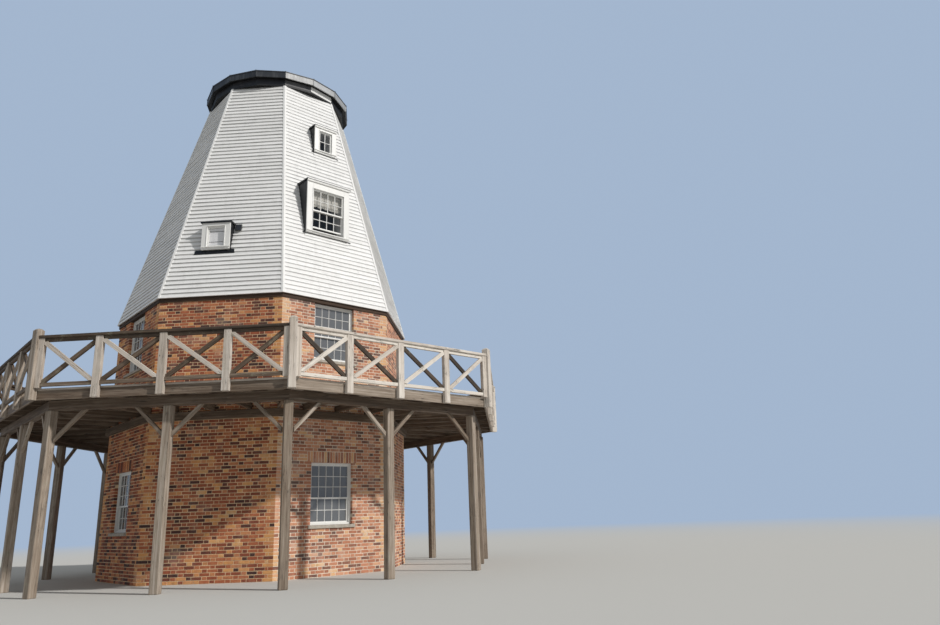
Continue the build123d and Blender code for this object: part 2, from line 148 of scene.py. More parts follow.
def turned(points: Array, angle: float) -> Array:
    """Carry points to the mill's axes: outwards starts on -Y, and all is turned about Z.

    Args:
        points: Any array whose last axis is (along, outwards, up).
        angle: The side's turn, in radians.

    Returns:
        The same array with (x, y, z).
    """
    along, out, up = points[..., 0], points[..., 1], points[..., 2]
    cosine, sine = math.cos(angle), math.sin(angle)
    return np.stack([cosine * along + sine * out, sine * along - cosine * out, up], -1)


def unit(vectors: Array) -> Array:
    """Vectors at length one."""
    return vectors / np.linalg.norm(vectors, axis=-1, keepdims=True)


def scattered(grain: Array, rng: Rng, spread: Array | float = 1.0) -> Array:
    """Grain places moved by a random step for each piece, so that no two show the same pattern."""
    return grain + rng.uniform(0, PATTERN_SPAN, (len(grain), 1, 1, 3)) * spread


def chamfered(half: Array, chamfer: float) -> Array:
    """Rectangles with their four corners cut at 45 degrees.

    Args:
        half: Half sizes, shape (pieces, 2).
        chamfer: What each cut takes off both edges.

    Returns:
        The eight corners of each, shape (pieces, 8, 2).
    """
    wide, high = half[:, :1], half[:, 1:]
    across = np.array([1, 1, 1, 1, -1, -1, -1, -1])
    rise = np.array([-1, -1, 1, 1, 1, 1, -1, -1])
    cut_across = np.array([1, 0, 0, 1, 1, 0, 0, 1])
    x = across * (wide - chamfer * cut_across)
    y = rise * (high - chamfer * (1 - cut_across))
    return np.stack([x, y], -1)


def bars(
    start: Array, end: Array, across: Array, size: Array, chamfer: float, rng: Rng,
    inner: int = 0, bow: float = 0.0,
) -> Swept:
    """Straight bars of chamfered rectangular section.

    A point is start + distance * ahead + x * side + y * rise, with (x, y) from the section, which
    is drawn in at both ends to chamfer their arrises too. The bow adds waves of random phase to
    x and y, which fade to nothing at both ends.

    Args:
        start: First ends.
        end: Last ends.
        across: Direction of the section's width.
        size: Width and height, for all or for each.
        chamfer: The cut along every arris.
        rng: Random draws.
        inner: Stations between the two end chamfers.
        bow: How far it wanders from straight.

    Returns:
        Rings of points and of grain places, both (pieces, stations, 8, 3).
    """
    start, end, across = np.broadcast_arrays(np.atleast_2d(start).astype(float), end, across)
    half = np.broadcast_to(np.asarray(size, float) / 2, (len(start), 2))
    length = np.linalg.norm(end - start, axis=1)[:, None]
    ahead = (end - start) / length
    rise = unit(np.cross(ahead, across))
    side = np.cross(rise, ahead)
    steps = np.linspace(0, 1, inner + 2)
    distance = np.concatenate([0 * length, chamfer + (length - 2 * chamfer) * steps, length], axis=1)
    sections = np.repeat(chamfered(half, chamfer)[:, None], inner + 4, axis=1)
    limit = (half - 0.7 * chamfer)[:, None, :]
    for last in (0, -1):
        sections[:, last] = np.clip(sections[:, last], -limit, limit)
    share = distance / length
    phase = rng.uniform(0, math.tau, (2, len(start), 1))
    wander = bow * np.sin(math.pi * share) * np.sin(4 * share + phase)
    placed = sections + np.moveaxis(wander, 0, -1)[:, :, None, :]
    start, ahead, side, rise = (vector[:, None, None] for vector in (start, ahead, side, rise))
    distance = distance[:, :, None, None]
    rings = start + ahead * distance + side * placed[..., :1] + rise * placed[..., 1:]
    return rings, scattered(np.concatenate([np.repeat(distance, 8, axis=2), sections], -1), rng)


def mitred_bars(
    out: Array, up: Array, gap: float, chamfer: float, rng: Rng,
    slant: float = SLANT, inner: int = 4, bow: float = 0.0,
) -> Swept:
    """Bars along a side that meet their neighbours in mitres.

    A section's point runs from -reach to +reach, where reach is outwards times slant, less the gap.

    Args:
        out: Nearest and farthest distance from the axis.
        up: Lowest and highest height.
        gap: What is left free at each mitre.
        chamfer: The cut along every long arris.
        rng: Random draws.
        slant: Along per outwards at the mitre.
        inner: Stations between the two ends.
        bow: How far it wanders from straight.

    Returns:
        Rings of points and of grain places, both (pieces, stations, 8, 3).
    """
    span = np.stack([np.asarray(out, float), np.asarray(up, float)], 1)
    section = chamfered((span[..., 1] - span[..., 0]) / 2, chamfer)
    placed = section + ((span[..., 1] + span[..., 0]) / 2)[:, None]
    share = np.linspace(-1, 1, inner + 2)
    along = share[None, :, None] * (placed[:, None, :, 0] * slant - gap)
    phase = rng.uniform(0, math.tau, (2, len(span), 1, 1))
    wave = bow * np.cos(share * math.pi / 2)[None, :, None] * np.sin(3 * share[None, :, None] + phase)
    rings = np.stack([along, placed[:, None, :, 0] + wave[0], placed[:, None, :, 1] + wave[1]], -1)
    flat = np.broadcast_to(section[:, None], (*along.shape, 2))
    return rings, scattered(np.concatenate([along[..., None], flat], -1), rng)


class Draft:
    """Faces of one piece, gathered as whole arrays before they become a mesh."""

    def __init__(self) -> None:
        """Start with nothing."""
        self.points: list[Array] = []
        self.grain: list[Array] = []
        self.tint: list[Array] = []
        self.faces: list[Array] = []
        self.count = 0

    def sweep(self, made: Swept, tint: Array | float, angle: float = 0.0, open_start: bool = False) -> None:
        """Add closed sections carried along stations, with faces that point outwards.

        A section that runs clockwise about its path has its order turned round first.

        Args:
            made: Points in a side's axes and their grain places, both of shape
                (pieces, stations, section points, 3).
            tint: A shade from 0 to 1 for all the pieces, or one for each.
            angle: The side's turn.
            open_start: Whether the first section is left open.
        """
        rings, grain = turned(made[0], angle), np.broadcast_to(made[1], made[0].shape).copy()
        path = rings[:, -1].mean(1) - rings[:, 0].mean(1)
        middle = rings.shape[1] // 2
        spokes = rings[:, middle] - rings[:, middle].mean(1, keepdims=True)
        turn = np.cross(spokes, np.roll(spokes, -1, axis=1)).sum(1)
        wrong = (turn * path).sum(-1) < 0
        rings[wrong] = rings[wrong][:, :, ::-1]
        grain[wrong] = grain[wrong][:, :, ::-1]
        pieces, stations, corners, _ = rings.shape
        index = self.count + np.arange(rings.size // 3).reshape(pieces, stations, corners)
        beside = np.roll(index, -1, axis=2)
        walls = np.stack([index[:, :-1], beside[:, :-1], beside[:, 1:], index[:, 1:]], -1)
        self.faces.append(walls.reshape(-1, 4))
        if not open_start:
            self.faces.append(index[:, 0, ::-1])
        self.faces.append(index[:, -1])
        self._keep(rings, grain, np.broadcast_to(np.asarray(tint, float), pieces)[:, None, None])

    def sweep_all(self, parts: list[Part], angle: float) -> None:
        """Sweep several parts of one side."""
        for part in parts:
            self.sweep(*part, angle)

    def grid(self, points: Array, grain: Array, tint: float) -> None:
        """Add an open surface of two parameters.

        Args:
            points: Points, shape (rows, columns, 3), with rows x columns turning outwards.
            grain: Places in the surface's own pattern, of the same shape.
            tint: One shade from 0 to 1.
        """
        index = self.count + np.arange(points.size // 3).reshape(points.shape[:2])
        quads = np.stack([index[:-1, :-1], index[:-1, 1:], index[1:, 1:], index[1:, :-1]], -1)
        self.faces.append(quads.reshape(-1, 4))
        self._keep(points, grain, np.full((1, 1), tint))

    def _keep(self, points: Array, grain: Array, tint: Array) -> None:
        """Store what a piece is made of.

        Args:
            points: Its points.
            grain: Their places in its own pattern.
            tint: Their shades.
        """
        self.points.append(points.reshape(-1, 3))
        self.grain.append(np.broadcast_to(grain, points.shape).reshape(-1, 3))
        self.tint.append(np.broadcast_to(tint, points.shape[:-1]).reshape(-1))
        self.count += points.size // 3

    def build(self, name: str, finish: Finish, smooth: bool = False) -> bpy.types.Object:
        """Turn the draft into an object at the origin.

        Args:
            name: The piece's name.
            finish: Its surface.
            smooth: Whether it shades as one curved surface.

        Returns:
            The new object.
        """
        faces = [face for block in self.faces for face in block.tolist()]
        mesh = bpy.data.meshes.new(name)
        mesh.from_pydata(np.concatenate(self.points).astype(np.float32), [], faces, shade_flat=not smooth)
        for key, kind, field, rows in (
            ("grain", "FLOAT_VECTOR", "vector", self.grain), ("tint", "FLOAT", "value", self.tint),
        ):
            values = np.concatenate(rows).astype(np.float32).ravel()
            mesh.attributes.new(key, kind, "POINT").data.foreach_set(field, values)
        mesh.materials.append(finish.material())
        made = bpy.data.objects.new(name, mesh)
        bpy.context.scene.collection.objects.link(made)
        return made


def add_piece(
    draft: Draft, name: str, finish: Finish, slot: Slot, *replaces: str, smooth: bool = False
) -> bpy.types.Object:
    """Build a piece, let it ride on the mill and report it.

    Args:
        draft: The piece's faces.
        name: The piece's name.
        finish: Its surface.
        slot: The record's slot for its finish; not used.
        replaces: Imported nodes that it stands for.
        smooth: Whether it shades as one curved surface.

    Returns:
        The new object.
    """
    made = draft.build(name, finish, smooth)
    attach(made, "root")
    if replaces:
        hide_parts(*replaces)
    LOG.info("%s: %d faces", name, len(made.data.polygons))
    return made


# Shader nodes


class Net:
    """A node tree filled by short calls."""

    def __init__(self, tree: bpy.types.NodeTree) -> None:
        """Work on one tree."""
        self.tree = tree

    def fill(self, made: bpy.types.Node, values: dict) -> bpy.types.Node:
        """Link a node's inputs to sockets, or set them to values.

        Args:
            made: The node.
            values: Sockets or values by input.

        Returns:
            The same node.
        """
        for key, value in values.items():
            target = made.inputs[key]
            if isinstance(value, Socket):
                self.tree.links.new(value, target)
            elif target.type == "RGBA":
                target.default_value = (*value[:3], 1.0)
            else:
                target.default_value = value
        return made

    def node(self, kind: str, values: dict, **settings: object) -> bpy.types.Node:
        """Add a node.

        Args:
            kind: Its type name, without the leading ShaderNode.
            values: Sockets or values by input.
            settings: The node's own properties.

        Returns:
            The new node.
        """
        made = self.tree.nodes.new("ShaderNode" + kind)
        for name, setting in settings.items():
            setattr(made, name, setting)
        return self.fill(made, values)

    def use(self, group: NodeGroup, values: dict) -> Outputs:
        """Place a node group.

        Args:
            group: The group.
            values: Sockets or values for its inputs.

        Returns:
            Its outputs.
        """
        made = self.tree.nodes.new("ShaderNodeGroup")
        made.node_tree = group.tree()
        return self.fill(made, values).outputs

    def place(self, source: Place = Place.OBJECT) -> Socket:
        """The vector that a pattern is laid out by."""
        kind, output, settings = source.value
        return self.node(kind, {}, **settings).outputs[output]

    def height(self) -> Socket:
        """The point's height over the ground."""
        return self.node("SeparateXYZ", {0: self.place()}).outputs[2]

    def length(self, vector: Socket) -> Socket:
        """A vector's length."""
        return self.node("VectorMath", {0: vector}, operation="LENGTH").outputs["Value"]

    def tint(self) -> Socket:
        """The shade that each brick, board or timber carries."""
        return self.node("Attribute", {}, attribute_name="tint").outputs["Fac"]

    def math(self, operation: str, *terms: object, clamp: bool = False) -> Socket:
        """One operation on numbers."""
        return self.node("Math", dict(enumerate(terms)), operation=operation, use_clamp=clamp).outputs[0]

    def times(self, first: object, second: object) -> Socket:
        """The product of two numbers."""
        return self.math("MULTIPLY", first, second)

    def plus(self, first: object, second: object, clamp: bool = False) -> Socket:
        """The sum of two numbers."""
        return self.math("ADD", first, second, clamp=clamp)

    def minus(self, first: object, second: object) -> Socket:
        """The difference of two numbers."""
        return self.math("SUBTRACT", first, second)

    def swing(self, value: object, gain: float) -> Socket:
        """How far a value lies from its middle of one half, times a gain."""
        return self.times(self.minus(value, 0.5), gain)

    def remap(self, value: object, low: float, high: float, to_low: float = 0, to_high: float = 1) -> Socket:
        """Ease a value from one span to another, held at both ends."""
        values = {"Value": value, "From Min": low, "From Max": high, "To Min": to_low, "To Max": to_high}
        return self.node("MapRange", values, interpolation_type="SMOOTHSTEP").outputs[0]

    def blend(self, share: object, first: object, second: object, mode: str = "MIX") -> Socket:
        """Mix two colours."""
        values = {0: share, 6: first, 7: second}
        return self.node("Mix", values, data_type="RGBA", blend_type=mode).outputs[2]

    def noise(self, place: object, scale: object, detail: float = 3.0, rough: float = 0.5) -> Socket:
        """Cloudy noise from about 0.2 to 0.8."""
        values = {"Vector": place, "Scale": scale, "Detail": detail, "Roughness": rough}
        return self.node("TexNoise", values).outputs[0]

    def stretch(self, place: object, scale: tuple[float, float, float]) -> Socket:
        """Scale a pattern along its three axes."""
        return self.node("Mapping", {"Vector": place, "Scale": scale}).outputs[0]

    def ramp(self, value: object, stops: Stops) -> Socket:
        """Colour a value by stops.

        Args:
            value: The value, from 0 to 1.
            stops: Places from 0 to 1 with their colours.

        Returns:
            The colour's socket.
        """
        made = self.node("ValToRGB", {"Fac": value})
        elements = made.color_ramp.elements
        while len(elements) < len(stops):
            elements.new(0.5)
        for element, (position, colour) in zip(elements, stops):
            element.position = position
            element.color = (*colour, 1.0)
        return made.outputs[0]

    def direct_ray(self) -> Socket:
        """One for what is seen directly, in a mirror or through glass, and nought for what only lights."""
        camera, glossy, clear = (self.node("LightPath", {}).outputs[f"Is {ray} Ray"] for ray in DIRECT_RAYS)
        return self.math("MAXIMUM", self.math("MAXIMUM", camera, glossy), clear)

    def relief(self, height: object, distance: float, strength: float = 1.0) -> Socket:
        """A bumped normal whose height of one stands for a distance in metres."""
        values = {"Height": height, "Distance": distance, "Strength": strength}
        return self.node("Bump", values).outputs[0]


@dataclass(frozen=True)
class NodeGroup:
    """A node group of a Vector and some numbers with their usual values."""

    name: str
    inputs: dict[str, float]
    fill: Callable[[Net, Outputs], dict[str, Socket]]

    def tree(self) -> bpy.types.NodeTree:
        """Fill the group on its first use.

        Returns:
            The group's tree.
        """
        known = bpy.data.node_groups.get(self.name)
        if known:
            return known
        tree = bpy.data.node_groups.new(self.name, "ShaderNodeTree")
        tree.interface.new_socket("Vector", in_out="INPUT", socket_type="NodeSocketVector")
        for key, value in self.inputs.items():
            socket = tree.interface.new_socket(key, in_out="INPUT", socket_type="NodeSocketFloat")
            socket.default_value = value
        outputs = self.fill(Net(tree), tree.nodes.new("NodeGroupInput").outputs)
        for key in outputs:
            tree.interface.new_socket(key, in_out="OUTPUT", socket_type="NodeSocketFloat")
        Net(tree).fill(tree.nodes.new("NodeGroupOutput"), outputs)
        return tree


def timber_grain(net: Net, given: Outputs) -> dict[str, Socket]:
    """Wood fibres, year rings and drying cracks that run along the pattern's first axis.

    Fibres are noise drawn out 40 times along the timber. Cracks are where a second, coarser
    noise crosses its middle value. The height falls in both.

    Args:
        net: Its nodes.
        given: Its inputs.

    Returns:
        Its outputs.
    """
    scaled = net.node("VectorMath", {0: given["Vector"], "Scale": given["Fineness"]}, operation="SCALE")
    place = scaled.outputs[0]
    fibres = net.noise(net.stretch(place, (3.0, 120.0, 120.0)), 1.0, 4.0, 0.6)
    rings = net.noise(net.stretch(place, (0.7, 22.0, 22.0)), 1.0, 2.0, 0.5)
    split = net.noise(net.stretch(place, (1.6, 42.0, 42.0)), 1.0, 1.0, 0.4)
    crack = net.remap(net.math("ABSOLUTE", net.minus(split, 0.5)), 0.0, 0.022, 1.0, 0.0)
    crack = net.times(crack, net.remap(net.noise(place, 3.0, 1.0), 0.45, 0.6))
    shade = net.plus(net.times(fibres, 0.5), net.times(rings, 0.5))
    return {"Shade": shade, "Crack": crack, "Height": net.minus(fibres, net.times(crack, 1.6))}


def rain_streaks(net: Net, given: Outputs) -> dict[str, Socket]:
    """Streaks of run-off: noise drawn out down the wall, broken up by a coarse one.

    Args:
        net: Its nodes.
        given: Its inputs.

    Returns:
        Its outputs.
    """
    drawn = net.stretch(given["Vector"], (1.0, 1.0, 0.09))
    streaks = net.noise(drawn, given["Width"], 4.0, 0.6)
    broken = net.noise(given["Vector"], 1.3, 2.0)
    over = net.minus(net.plus(net.times(streaks, 0.65), net.times(broken, 0.35)), given["Onset"])
    return {"Mask": net.math("MULTIPLY", over, 5.0, clamp=True)}


def mottle(net: Net, given: Outputs) -> dict[str, Socket]:
    """Fine and coarse speckle together.

    Args:
        net: Its nodes.
        given: Its inputs.

    Returns:
        Its outputs.
    """
    coarse = net.noise(given["Vector"], given["Scale"], 2.0)
    fine = net.noise(given["Vector"], net.times(given["Scale"], 7.0), 3.0, 0.65)
    return {"Value": net.plus(net.times(coarse, 0.6), net.times(fine, 0.4)), "Height": fine}


TIMBER_GRAIN = NodeGroup("timber grain", {"Fineness": 1.0}, timber_grain)
RAIN_STREAKS = NodeGroup("rain streaks", {"Width": 9.0, "Onset": 0.5}, rain_streaks)
MOTTLE = NodeGroup("mottle", {"Scale": 20.0}, mottle)


# Finishes


@dataclass(frozen=True)
class Finish:
    """A surface finish with its name and its gloss."""

    name: str
    roughness: float

    def paint(self, net: Net) -> dict[str, object]:
        """Feed the shader's inputs; each finish has its own way."""
        raise NotImplementedError

    def material(self) -> bpy.types.Material:
        """Make the material on its first use.

        Returns:
            The material.
        """
        known = bpy.data.materials.get(self.name)
        if known:
            return known
        made = bpy.data.materials.new(self.name)
        made.use_nodes = True
        made.node_tree.nodes.clear()
        net = Net(made.node_tree)
        shader = net.node("BsdfPrincipled", {"Roughness": self.roughness})
        net.fill(shader, self.paint(net))
        net.node("OutputMaterial", {"Surface": shader.outputs[0]})
        return made


@dataclass(frozen=True)
class Paint(Finish):
    """Brushed paint on timber, with worn shade from board to board and grime that has run down."""

    colour: Colour
    worn: Colour
    grime: Colour
    grime_share: float
    source: Place = Place.OWN_GRAIN
    relief: float = 0.0008

    def paint(self, net: Net) -> dict[str, object]:
        """Shade by the board's tint and its grain, add any painted shade under the laps, then lay the grime
        over it.

        Args:
            net: Its nodes.

        Returns:
            The shader's inputs.
        """
        grain = net.use(TIMBER_GRAIN, {"Vector": net.place(self.source), "Fineness": 0.8})
        share = net.plus(net.times(net.tint(), 0.8), net.swing(grain["Shade"], 0.9), clamp=True)
        base = self.with_lap_shade(net, net.blend(share, self.colour, self.worn))
        streaks = net.use(RAIN_STREAKS, {"Vector": net.place(), "Onset": 0.52})
        base = net.blend(net.times(streaks["Mask"], self.grime_share), base, self.grime)
        base = net.blend(net.times(grain["Crack"], 0.35), base, self.grime)
        return {"Base Color": base, "Normal": net.relief(grain["Height"], self.relief, 0.6)}

    def with_lap_shade(self, net: Net, base: Socket) -> Socket:
        """Plain paint has no painted shade under laps."""
        return base


@dataclass(frozen=True)
class BoardPaint(Paint):
    """Paint on weatherboards, darkened along the strip under each butt: mostly painted shadow of the butt,
    partly dirt.
    """

    foot: float = 0.0
    pitch: float = 0.12
    lap_shade: float = 0.5

    def with_lap_shade(self, net: Net, base: Socket) -> Socket:
        """Paint shade on the upper part of each board's face, under the butt above, by its height over the
        lowest board's arris.

        Args:
            net: Its nodes.
            base: The paint before the painted shade.

        Returns:
            The paint with the painted shade.
        """
        # Painted shadow: a strip over the upper part of each board's face, where the butt above shades it.
        way = net.math("DIVIDE", net.minus(net.height(), self.foot), self.pitch)
        strip = net.remap(net.math("FRACT", way), 0.56, 0.84, 0.0, self.lap_shade)
        clouds = net.noise(net.stretch(net.place(), (1.2, 1.2, 9.0)), 1.0, 3.0)
        return net.blend(net.times(strip, net.remap(clouds, 0.32, 0.6, 0.6, 1.0)), base, self.grime)


@dataclass(frozen=True)
class Clay(Finish):
    """Fired bricks, coloured one by one, with lime bloom and soot over them."""

    stops: Stops
    bloom: Colour
    soot: Colour

    def paint(self, net: Net) -> dict[str, object]:
        """Pick the brick's colour by its tint, then drift it over the wall.

        Args:
            net: Its nodes.

        Returns:
            The shader's inputs.
        """
        wall = net.place()
        speckle = net.use(MOTTLE, {"Vector": net.place(Place.OWN_GRAIN), "Scale": 14.0})
        drift = net.plus(net.tint(), net.swing(net.noise(wall, 0.9, 3.0), 0.55))
        base = net.ramp(net.plus(drift, net.swing(speckle["Value"], 0.5), clamp=True), self.stops)
        lime = net.remap(net.noise(wall, 2.3, 4.0, 0.6), 0.52, 0.74, 0.0, 0.5)
        base = net.blend(net.times(lime, speckle["Value"]), base, self.bloom)
        burnt = net.remap(net.noise(wall, 4.1, 3.0, 0.6), 0.56, 0.78, 0.0, 0.4)
        base = net.blend(burnt, base, self.soot)
        return {"Base Color": base, "Normal": net.relief(speckle["Height"], 0.002, 0.7)}


@dataclass(frozen=True)
class Mortar(Finish):
    """Lime mortar outside and plaster inside, told apart by the distance from the axis."""

    colour: Colour
    stain: Colour
    plaster: Colour
    inner_radius: float

    def paint(self, net: Net) -> dict[str, object]:
        """Stain the mortar in patches and switch to plaster at the inner radius.

        Args:
            net: Its nodes.

        Returns:
            The shader's inputs.
        """
        wall = net.place()
        speckle = net.use(MOTTLE, {"Vector": wall, "Scale": 5.0})
        patch = net.remap(net.noise(wall, 1.6, 4.0, 0.6), 0.4, 0.68)
        base = net.blend(net.times(patch, 0.6), self.colour, self.stain)
        dark = net.remap(speckle["Value"], 0.35, 0.6, 0.75, 1.0)
        grey = net.node("CombineXYZ", {0: dark, 1: dark, 2: dark}).outputs[0]
        base = net.blend(1.0, base, grey, "MULTIPLY")
        outside = net.math("GREATER_THAN", net.length(net.stretch(wall, (1.0, 1.0, 0.0))), self.inner_radius)
        base = net.blend(outside, self.plaster, base)
        return {"Base Color": base, "Normal": net.relief(speckle["Height"], 0.003, 0.8)}


@dataclass(frozen=True)
class Timber(Finish):
    """Bare timber whose tint runs from dark brown to pale silver; on the gallery the tint also carries
    painted light and shade.
    """

    stops: Stops
    crack: Colour
    lichen: Colour
    lichen_share: float
    source: Place = Place.OWN_GRAIN

    def paint(self, net: Net) -> dict[str, object]:
        """Colour the fibres by the timber's tint, darken its cracks and spot it with lichen.

        Args:
            net: Its nodes.

        Returns:
            The shader's inputs.
        """
        grain = net.use(TIMBER_GRAIN, {"Vector": net.place(self.source)})
        base = net.ramp(net.plus(net.tint(), net.swing(grain["Shade"], 1.1), clamp=True), self.stops)
        spots = net.use(MOTTLE, {"Vector": net.place(), "Scale": 6.0})
        base = net.blend(net.remap(spots["Value"], 0.56, 0.68, 0.0, self.lichen_share), base, self.lichen)
        base = net.blend(net.times(grain["Crack"], 0.85), base, self.crack)
        return {"Base Color": base, "Normal": net.relief(grain["Height"], 0.0025, 0.8)}


@dataclass(frozen=True)
class Lead(Finish):
    """Lead sheet, from near black to pale grey by its tint, with white run-off; on the cap the tint carries
    painted light.
    """

    stops: Stops
    runoff: Colour
    metallic: float = 0.3

    def paint(self, net: Net) -> dict[str, object]:
        """Colour by the sheet's tint, cloud it and let the patina run down.

        Args:
            net: Its nodes.

        Returns:
            The shader's inputs.
        """
        place = net.place()
        clouds = net.use(MOTTLE, {"Vector": place, "Scale": 3.0})["Value"]
        base = net.ramp(net.plus(net.tint(), net.swing(clouds, 0.35), clamp=True), self.stops)
        streaks = net.use(RAIN_STREAKS, {"Vector": place, "Width": 14.0, "Onset": 0.5})
        base = net.blend(net.times(net.times(streaks["Mask"], net.tint()), 0.6), base, self.runoff)
        return {
            "Base Color": base,
            "Metallic": self.metallic,
            "Roughness": net.remap(clouds, 0.3, 0.7, self.roughness - 0.08, self.roughness + 0.12),
            "Normal": net.relief(clouds, 0.006, 0.5),
        }


@dataclass(frozen=True)
class Stone(Finish):
    """Stone or black iron: one colour clouded with another."""

    colour: Colour
    cloud: Colour
    scale: float
    relief: float

    def paint(self, net: Net) -> dict[str, object]:
        """Cloud the first colour with the second.

        Args:
            net: Its nodes.

        Returns:
            The shader's inputs.
        """
        speckle = net.use(MOTTLE, {"Vector": net.place(), "Scale": self.scale})
        base = net.blend(net.remap(speckle["Value"], 0.36, 0.64), self.colour, self.cloud)
        return {"Base Color": base, "Normal": net.relief(speckle["Height"], self.relief, 0.7)}


@dataclass(frozen=True)
class Cloth(Finish):
    """Plain woven cloth: two sets of threads across each other, a little slubbed."""

    colour: Colour
    shade: Colour
    threads: float

    def paint(self, net: Net) -> dict[str, object]:
        """Weave by the product of two waves along the cloth's own width and length.

        Args:
            net: Its nodes.

        Returns:
            The shader's inputs.
        """
        own = net.place(Place.OWN_GRAIN)
        parts = net.node("SeparateXYZ", {0: own}).outputs
        across, down = (net.math("SINE", net.times(parts[axis], self.threads)) for axis in (0, 1))
        weave = net.plus(net.times(net.times(across, down), 0.5), 0.5)
        slub = net.noise(net.stretch(own, (8.0, 120.0, 1.0)), 1.0, 2.0)
        share = net.plus(net.times(weave, 0.3), net.times(slub, 0.5))
        return {
            "Base Color": net.blend(share, self.colour, self.shade),
            "Sheen Weight": 0.3,
            "Normal": net.relief(weave, 0.0004, 0.5),
        }


@dataclass(frozen=True)
class Tiles(Finish):
    """Square quarry tiles laid on a bed, with their joints."""

    colour: Colour
    other: Colour
    joint: Colour
    pitch: float

    def paint(self, net: Net) -> dict[str, object]:
        """Lay the tiles out by Blender's brick pattern with no offset.

        Args:
            net: Its nodes.

        Returns:
            The shader's inputs.
        """
        values = {
            "Vector": net.place(), "Color1": self.colour, "Color2": self.other, "Mortar": self.joint,
            "Scale": 1.0, "Mortar Size": 0.006, "Brick Width": self.pitch, "Row Height": self.pitch,
        }
        tiles = net.node("TexBrick", values, offset=0.0).outputs
        return {"Base Color": tiles["Color"], "Normal": net.relief(tiles["Fac"], -0.003)}


@dataclass(frozen=True)
class Pane(Finish):
    """Thin window glass: mostly clear, with the sky's gleam on it, and dusty low down."""

    colour: Colour
    dust: Colour
    covers: tuple[float, float, float]
    tops: Pair

    def paint(self, net: Net) -> dict[str, object]:
        """Cover each of three zones, from the lowest up, and ripple the gleam as old glass does.

        Args:
            net: Its nodes.

        Returns:
            The shader's inputs.
        """
        height = net.height()
        low, middle = (net.math("LESS_THAN", height, top) for top in self.tops)
        first, second, third = self.covers
        cover = net.math("MULTIPLY_ADD", low, first - second, third)
        return {
            "Base Color": net.blend(low, self.colour, self.dust),
            "Alpha": net.math("MULTIPLY_ADD", middle, second - third, cover),
            "Specular IOR Level": 1.0,
            "Normal": net.relief(net.noise(net.place(), 4.0, 1.0), 0.004, 0.3),
        }


@dataclass(frozen=True)
class FloorPaint(Finish):
    """A plain pale floor that turns into the backdrop far away."""

    colour: Colour
    far: Colour

    def paint(self, net: Net) -> dict[str, object]:
        """Fade to the backdrop's colour from 14 to 80 metres out, where it is seen directly.

        Args:
            net: Its nodes.

        Returns:
            The shader's inputs.
        """
        seen = net.times(net.remap(net.length(net.place()), 14.0, 80.0), net.direct_ray())
        return {
            "Base Color": net.blend(seen, self.colour, (0.0, 0.0, 0.0)),
            "Specular IOR Level": 0.0,
            "Emission Color": self.far,
            "Emission Strength": seen,
        }


OAK_STOPS: Stops = (
    (0.0, (0.034, 0.024, 0.016)), (0.28, (0.12, 0.08, 0.051)),
    (0.55, (0.325, 0.265, 0.208)), (0.8, (0.6, 0.535, 0.47)),
    (1.0, (0.78, 0.73, 0.66)),
)
# Brick colours for most sides, painted darker and more saturated for the shade they stand in.
BRICK_STOPS: Stops = (
    (0.0, (0.064, 0.033, 0.028)), (0.18, (0.18, 0.058, 0.036)),
    (0.38, (0.35, 0.098, 0.046)), (0.55, (0.465, 0.152, 0.07)),
    (0.7, (0.58, 0.24, 0.108)), (0.86, (0.72, 0.36, 0.13)),
    (1.0, (0.72, 0.46, 0.26)),
)
# A paler copy for the sunny sides, painted lighter for the light on them.
SUNLIT_BRICK_STOPS: Stops = (
    (0.0, (0.15, 0.09, 0.075)), (0.18, (0.31, 0.135, 0.088)),
    (0.38, (0.48, 0.195, 0.112)), (0.55, (0.58, 0.265, 0.158)),
    (0.7, (0.68, 0.365, 0.228)), (0.86, (0.74, 0.45, 0.225)),
    (1.0, (0.79, 0.61, 0.48)),
)
SILL_STOPS: Stops = (
    (0.0, (0.014, 0.008, 0.005)), (0.4, (0.085, 0.045, 0.022)),
    (1.0, (0.25, 0.15, 0.085)),
)
ROOF_STOPS: Stops = (
    (0.0, (0.07, 0.073, 0.078)), (1.0, (0.22, 0.22, 0.22)),
)
LEAD_STOPS: Stops = (
    (0.0, (0.006, 0.0065, 0.0075)), (0.4, (0.05, 0.052, 0.055)),
    (0.75, (0.27, 0.27, 0.265)), (1.0, (0.52, 0.525, 0.53)),
)
# Kerb colours, from the near black of its painted shade to the white of its painted sunlit facet.
KERB_STOPS: Stops = (
    (0.0, (0.006, 0.006, 0.006)), (0.15, (0.026, 0.024, 0.026)),
    (0.5, (0.24, 0.24, 0.24)), (1.0, (0.82, 0.82, 0.81)),
)

# The third colour is the grime of streaks and cracks, and also the painted shade under the board laps.
BOARD_WHITE, BOARD_WORN, BOARD_GRIME_AND_SHADE = (0.88, 0.88, 0.875), (0.79, 0.79, 0.78), (0.31, 0.31, 0.3)
APRON_PAINT = Paint("apron paint", 0.55, BOARD_WHITE, BOARD_WORN, BOARD_GRIME_AND_SHADE, 0.2)
NODE_PAINT = Paint(
    "smock paint", 0.55, (0.83, 0.83, 0.82), (0.74, 0.74, 0.73), (0.34, 0.33, 0.3), 0.2, Place.OBJECT
)
JOINERY_PAINT = Paint("joinery paint", 0.4, (0.84, 0.84, 0.82), (0.74, 0.73, 0.7), (0.36, 0.34, 0.3), 0.16)
FRAME_PAINT = Paint(
    "window frame paint", 0.4, (0.82, 0.82, 0.8), (0.74, 0.73, 0.7), (0.36, 0.34, 0.3), 0.14, Place.OBJECT
)
DOOR_PAINT = Paint("door paint", 0.35, (0.03, 0.032, 0.036), (0.055, 0.055, 0.058), (0.1, 0.09, 0.08), 0.3)
VENT_PAINT = Paint(
    "vent paint", 0.5, (0.02, 0.02, 0.022), (0.05, 0.05, 0.05), (0.1, 0.1, 0.09), 0.3, Place.OBJECT
)
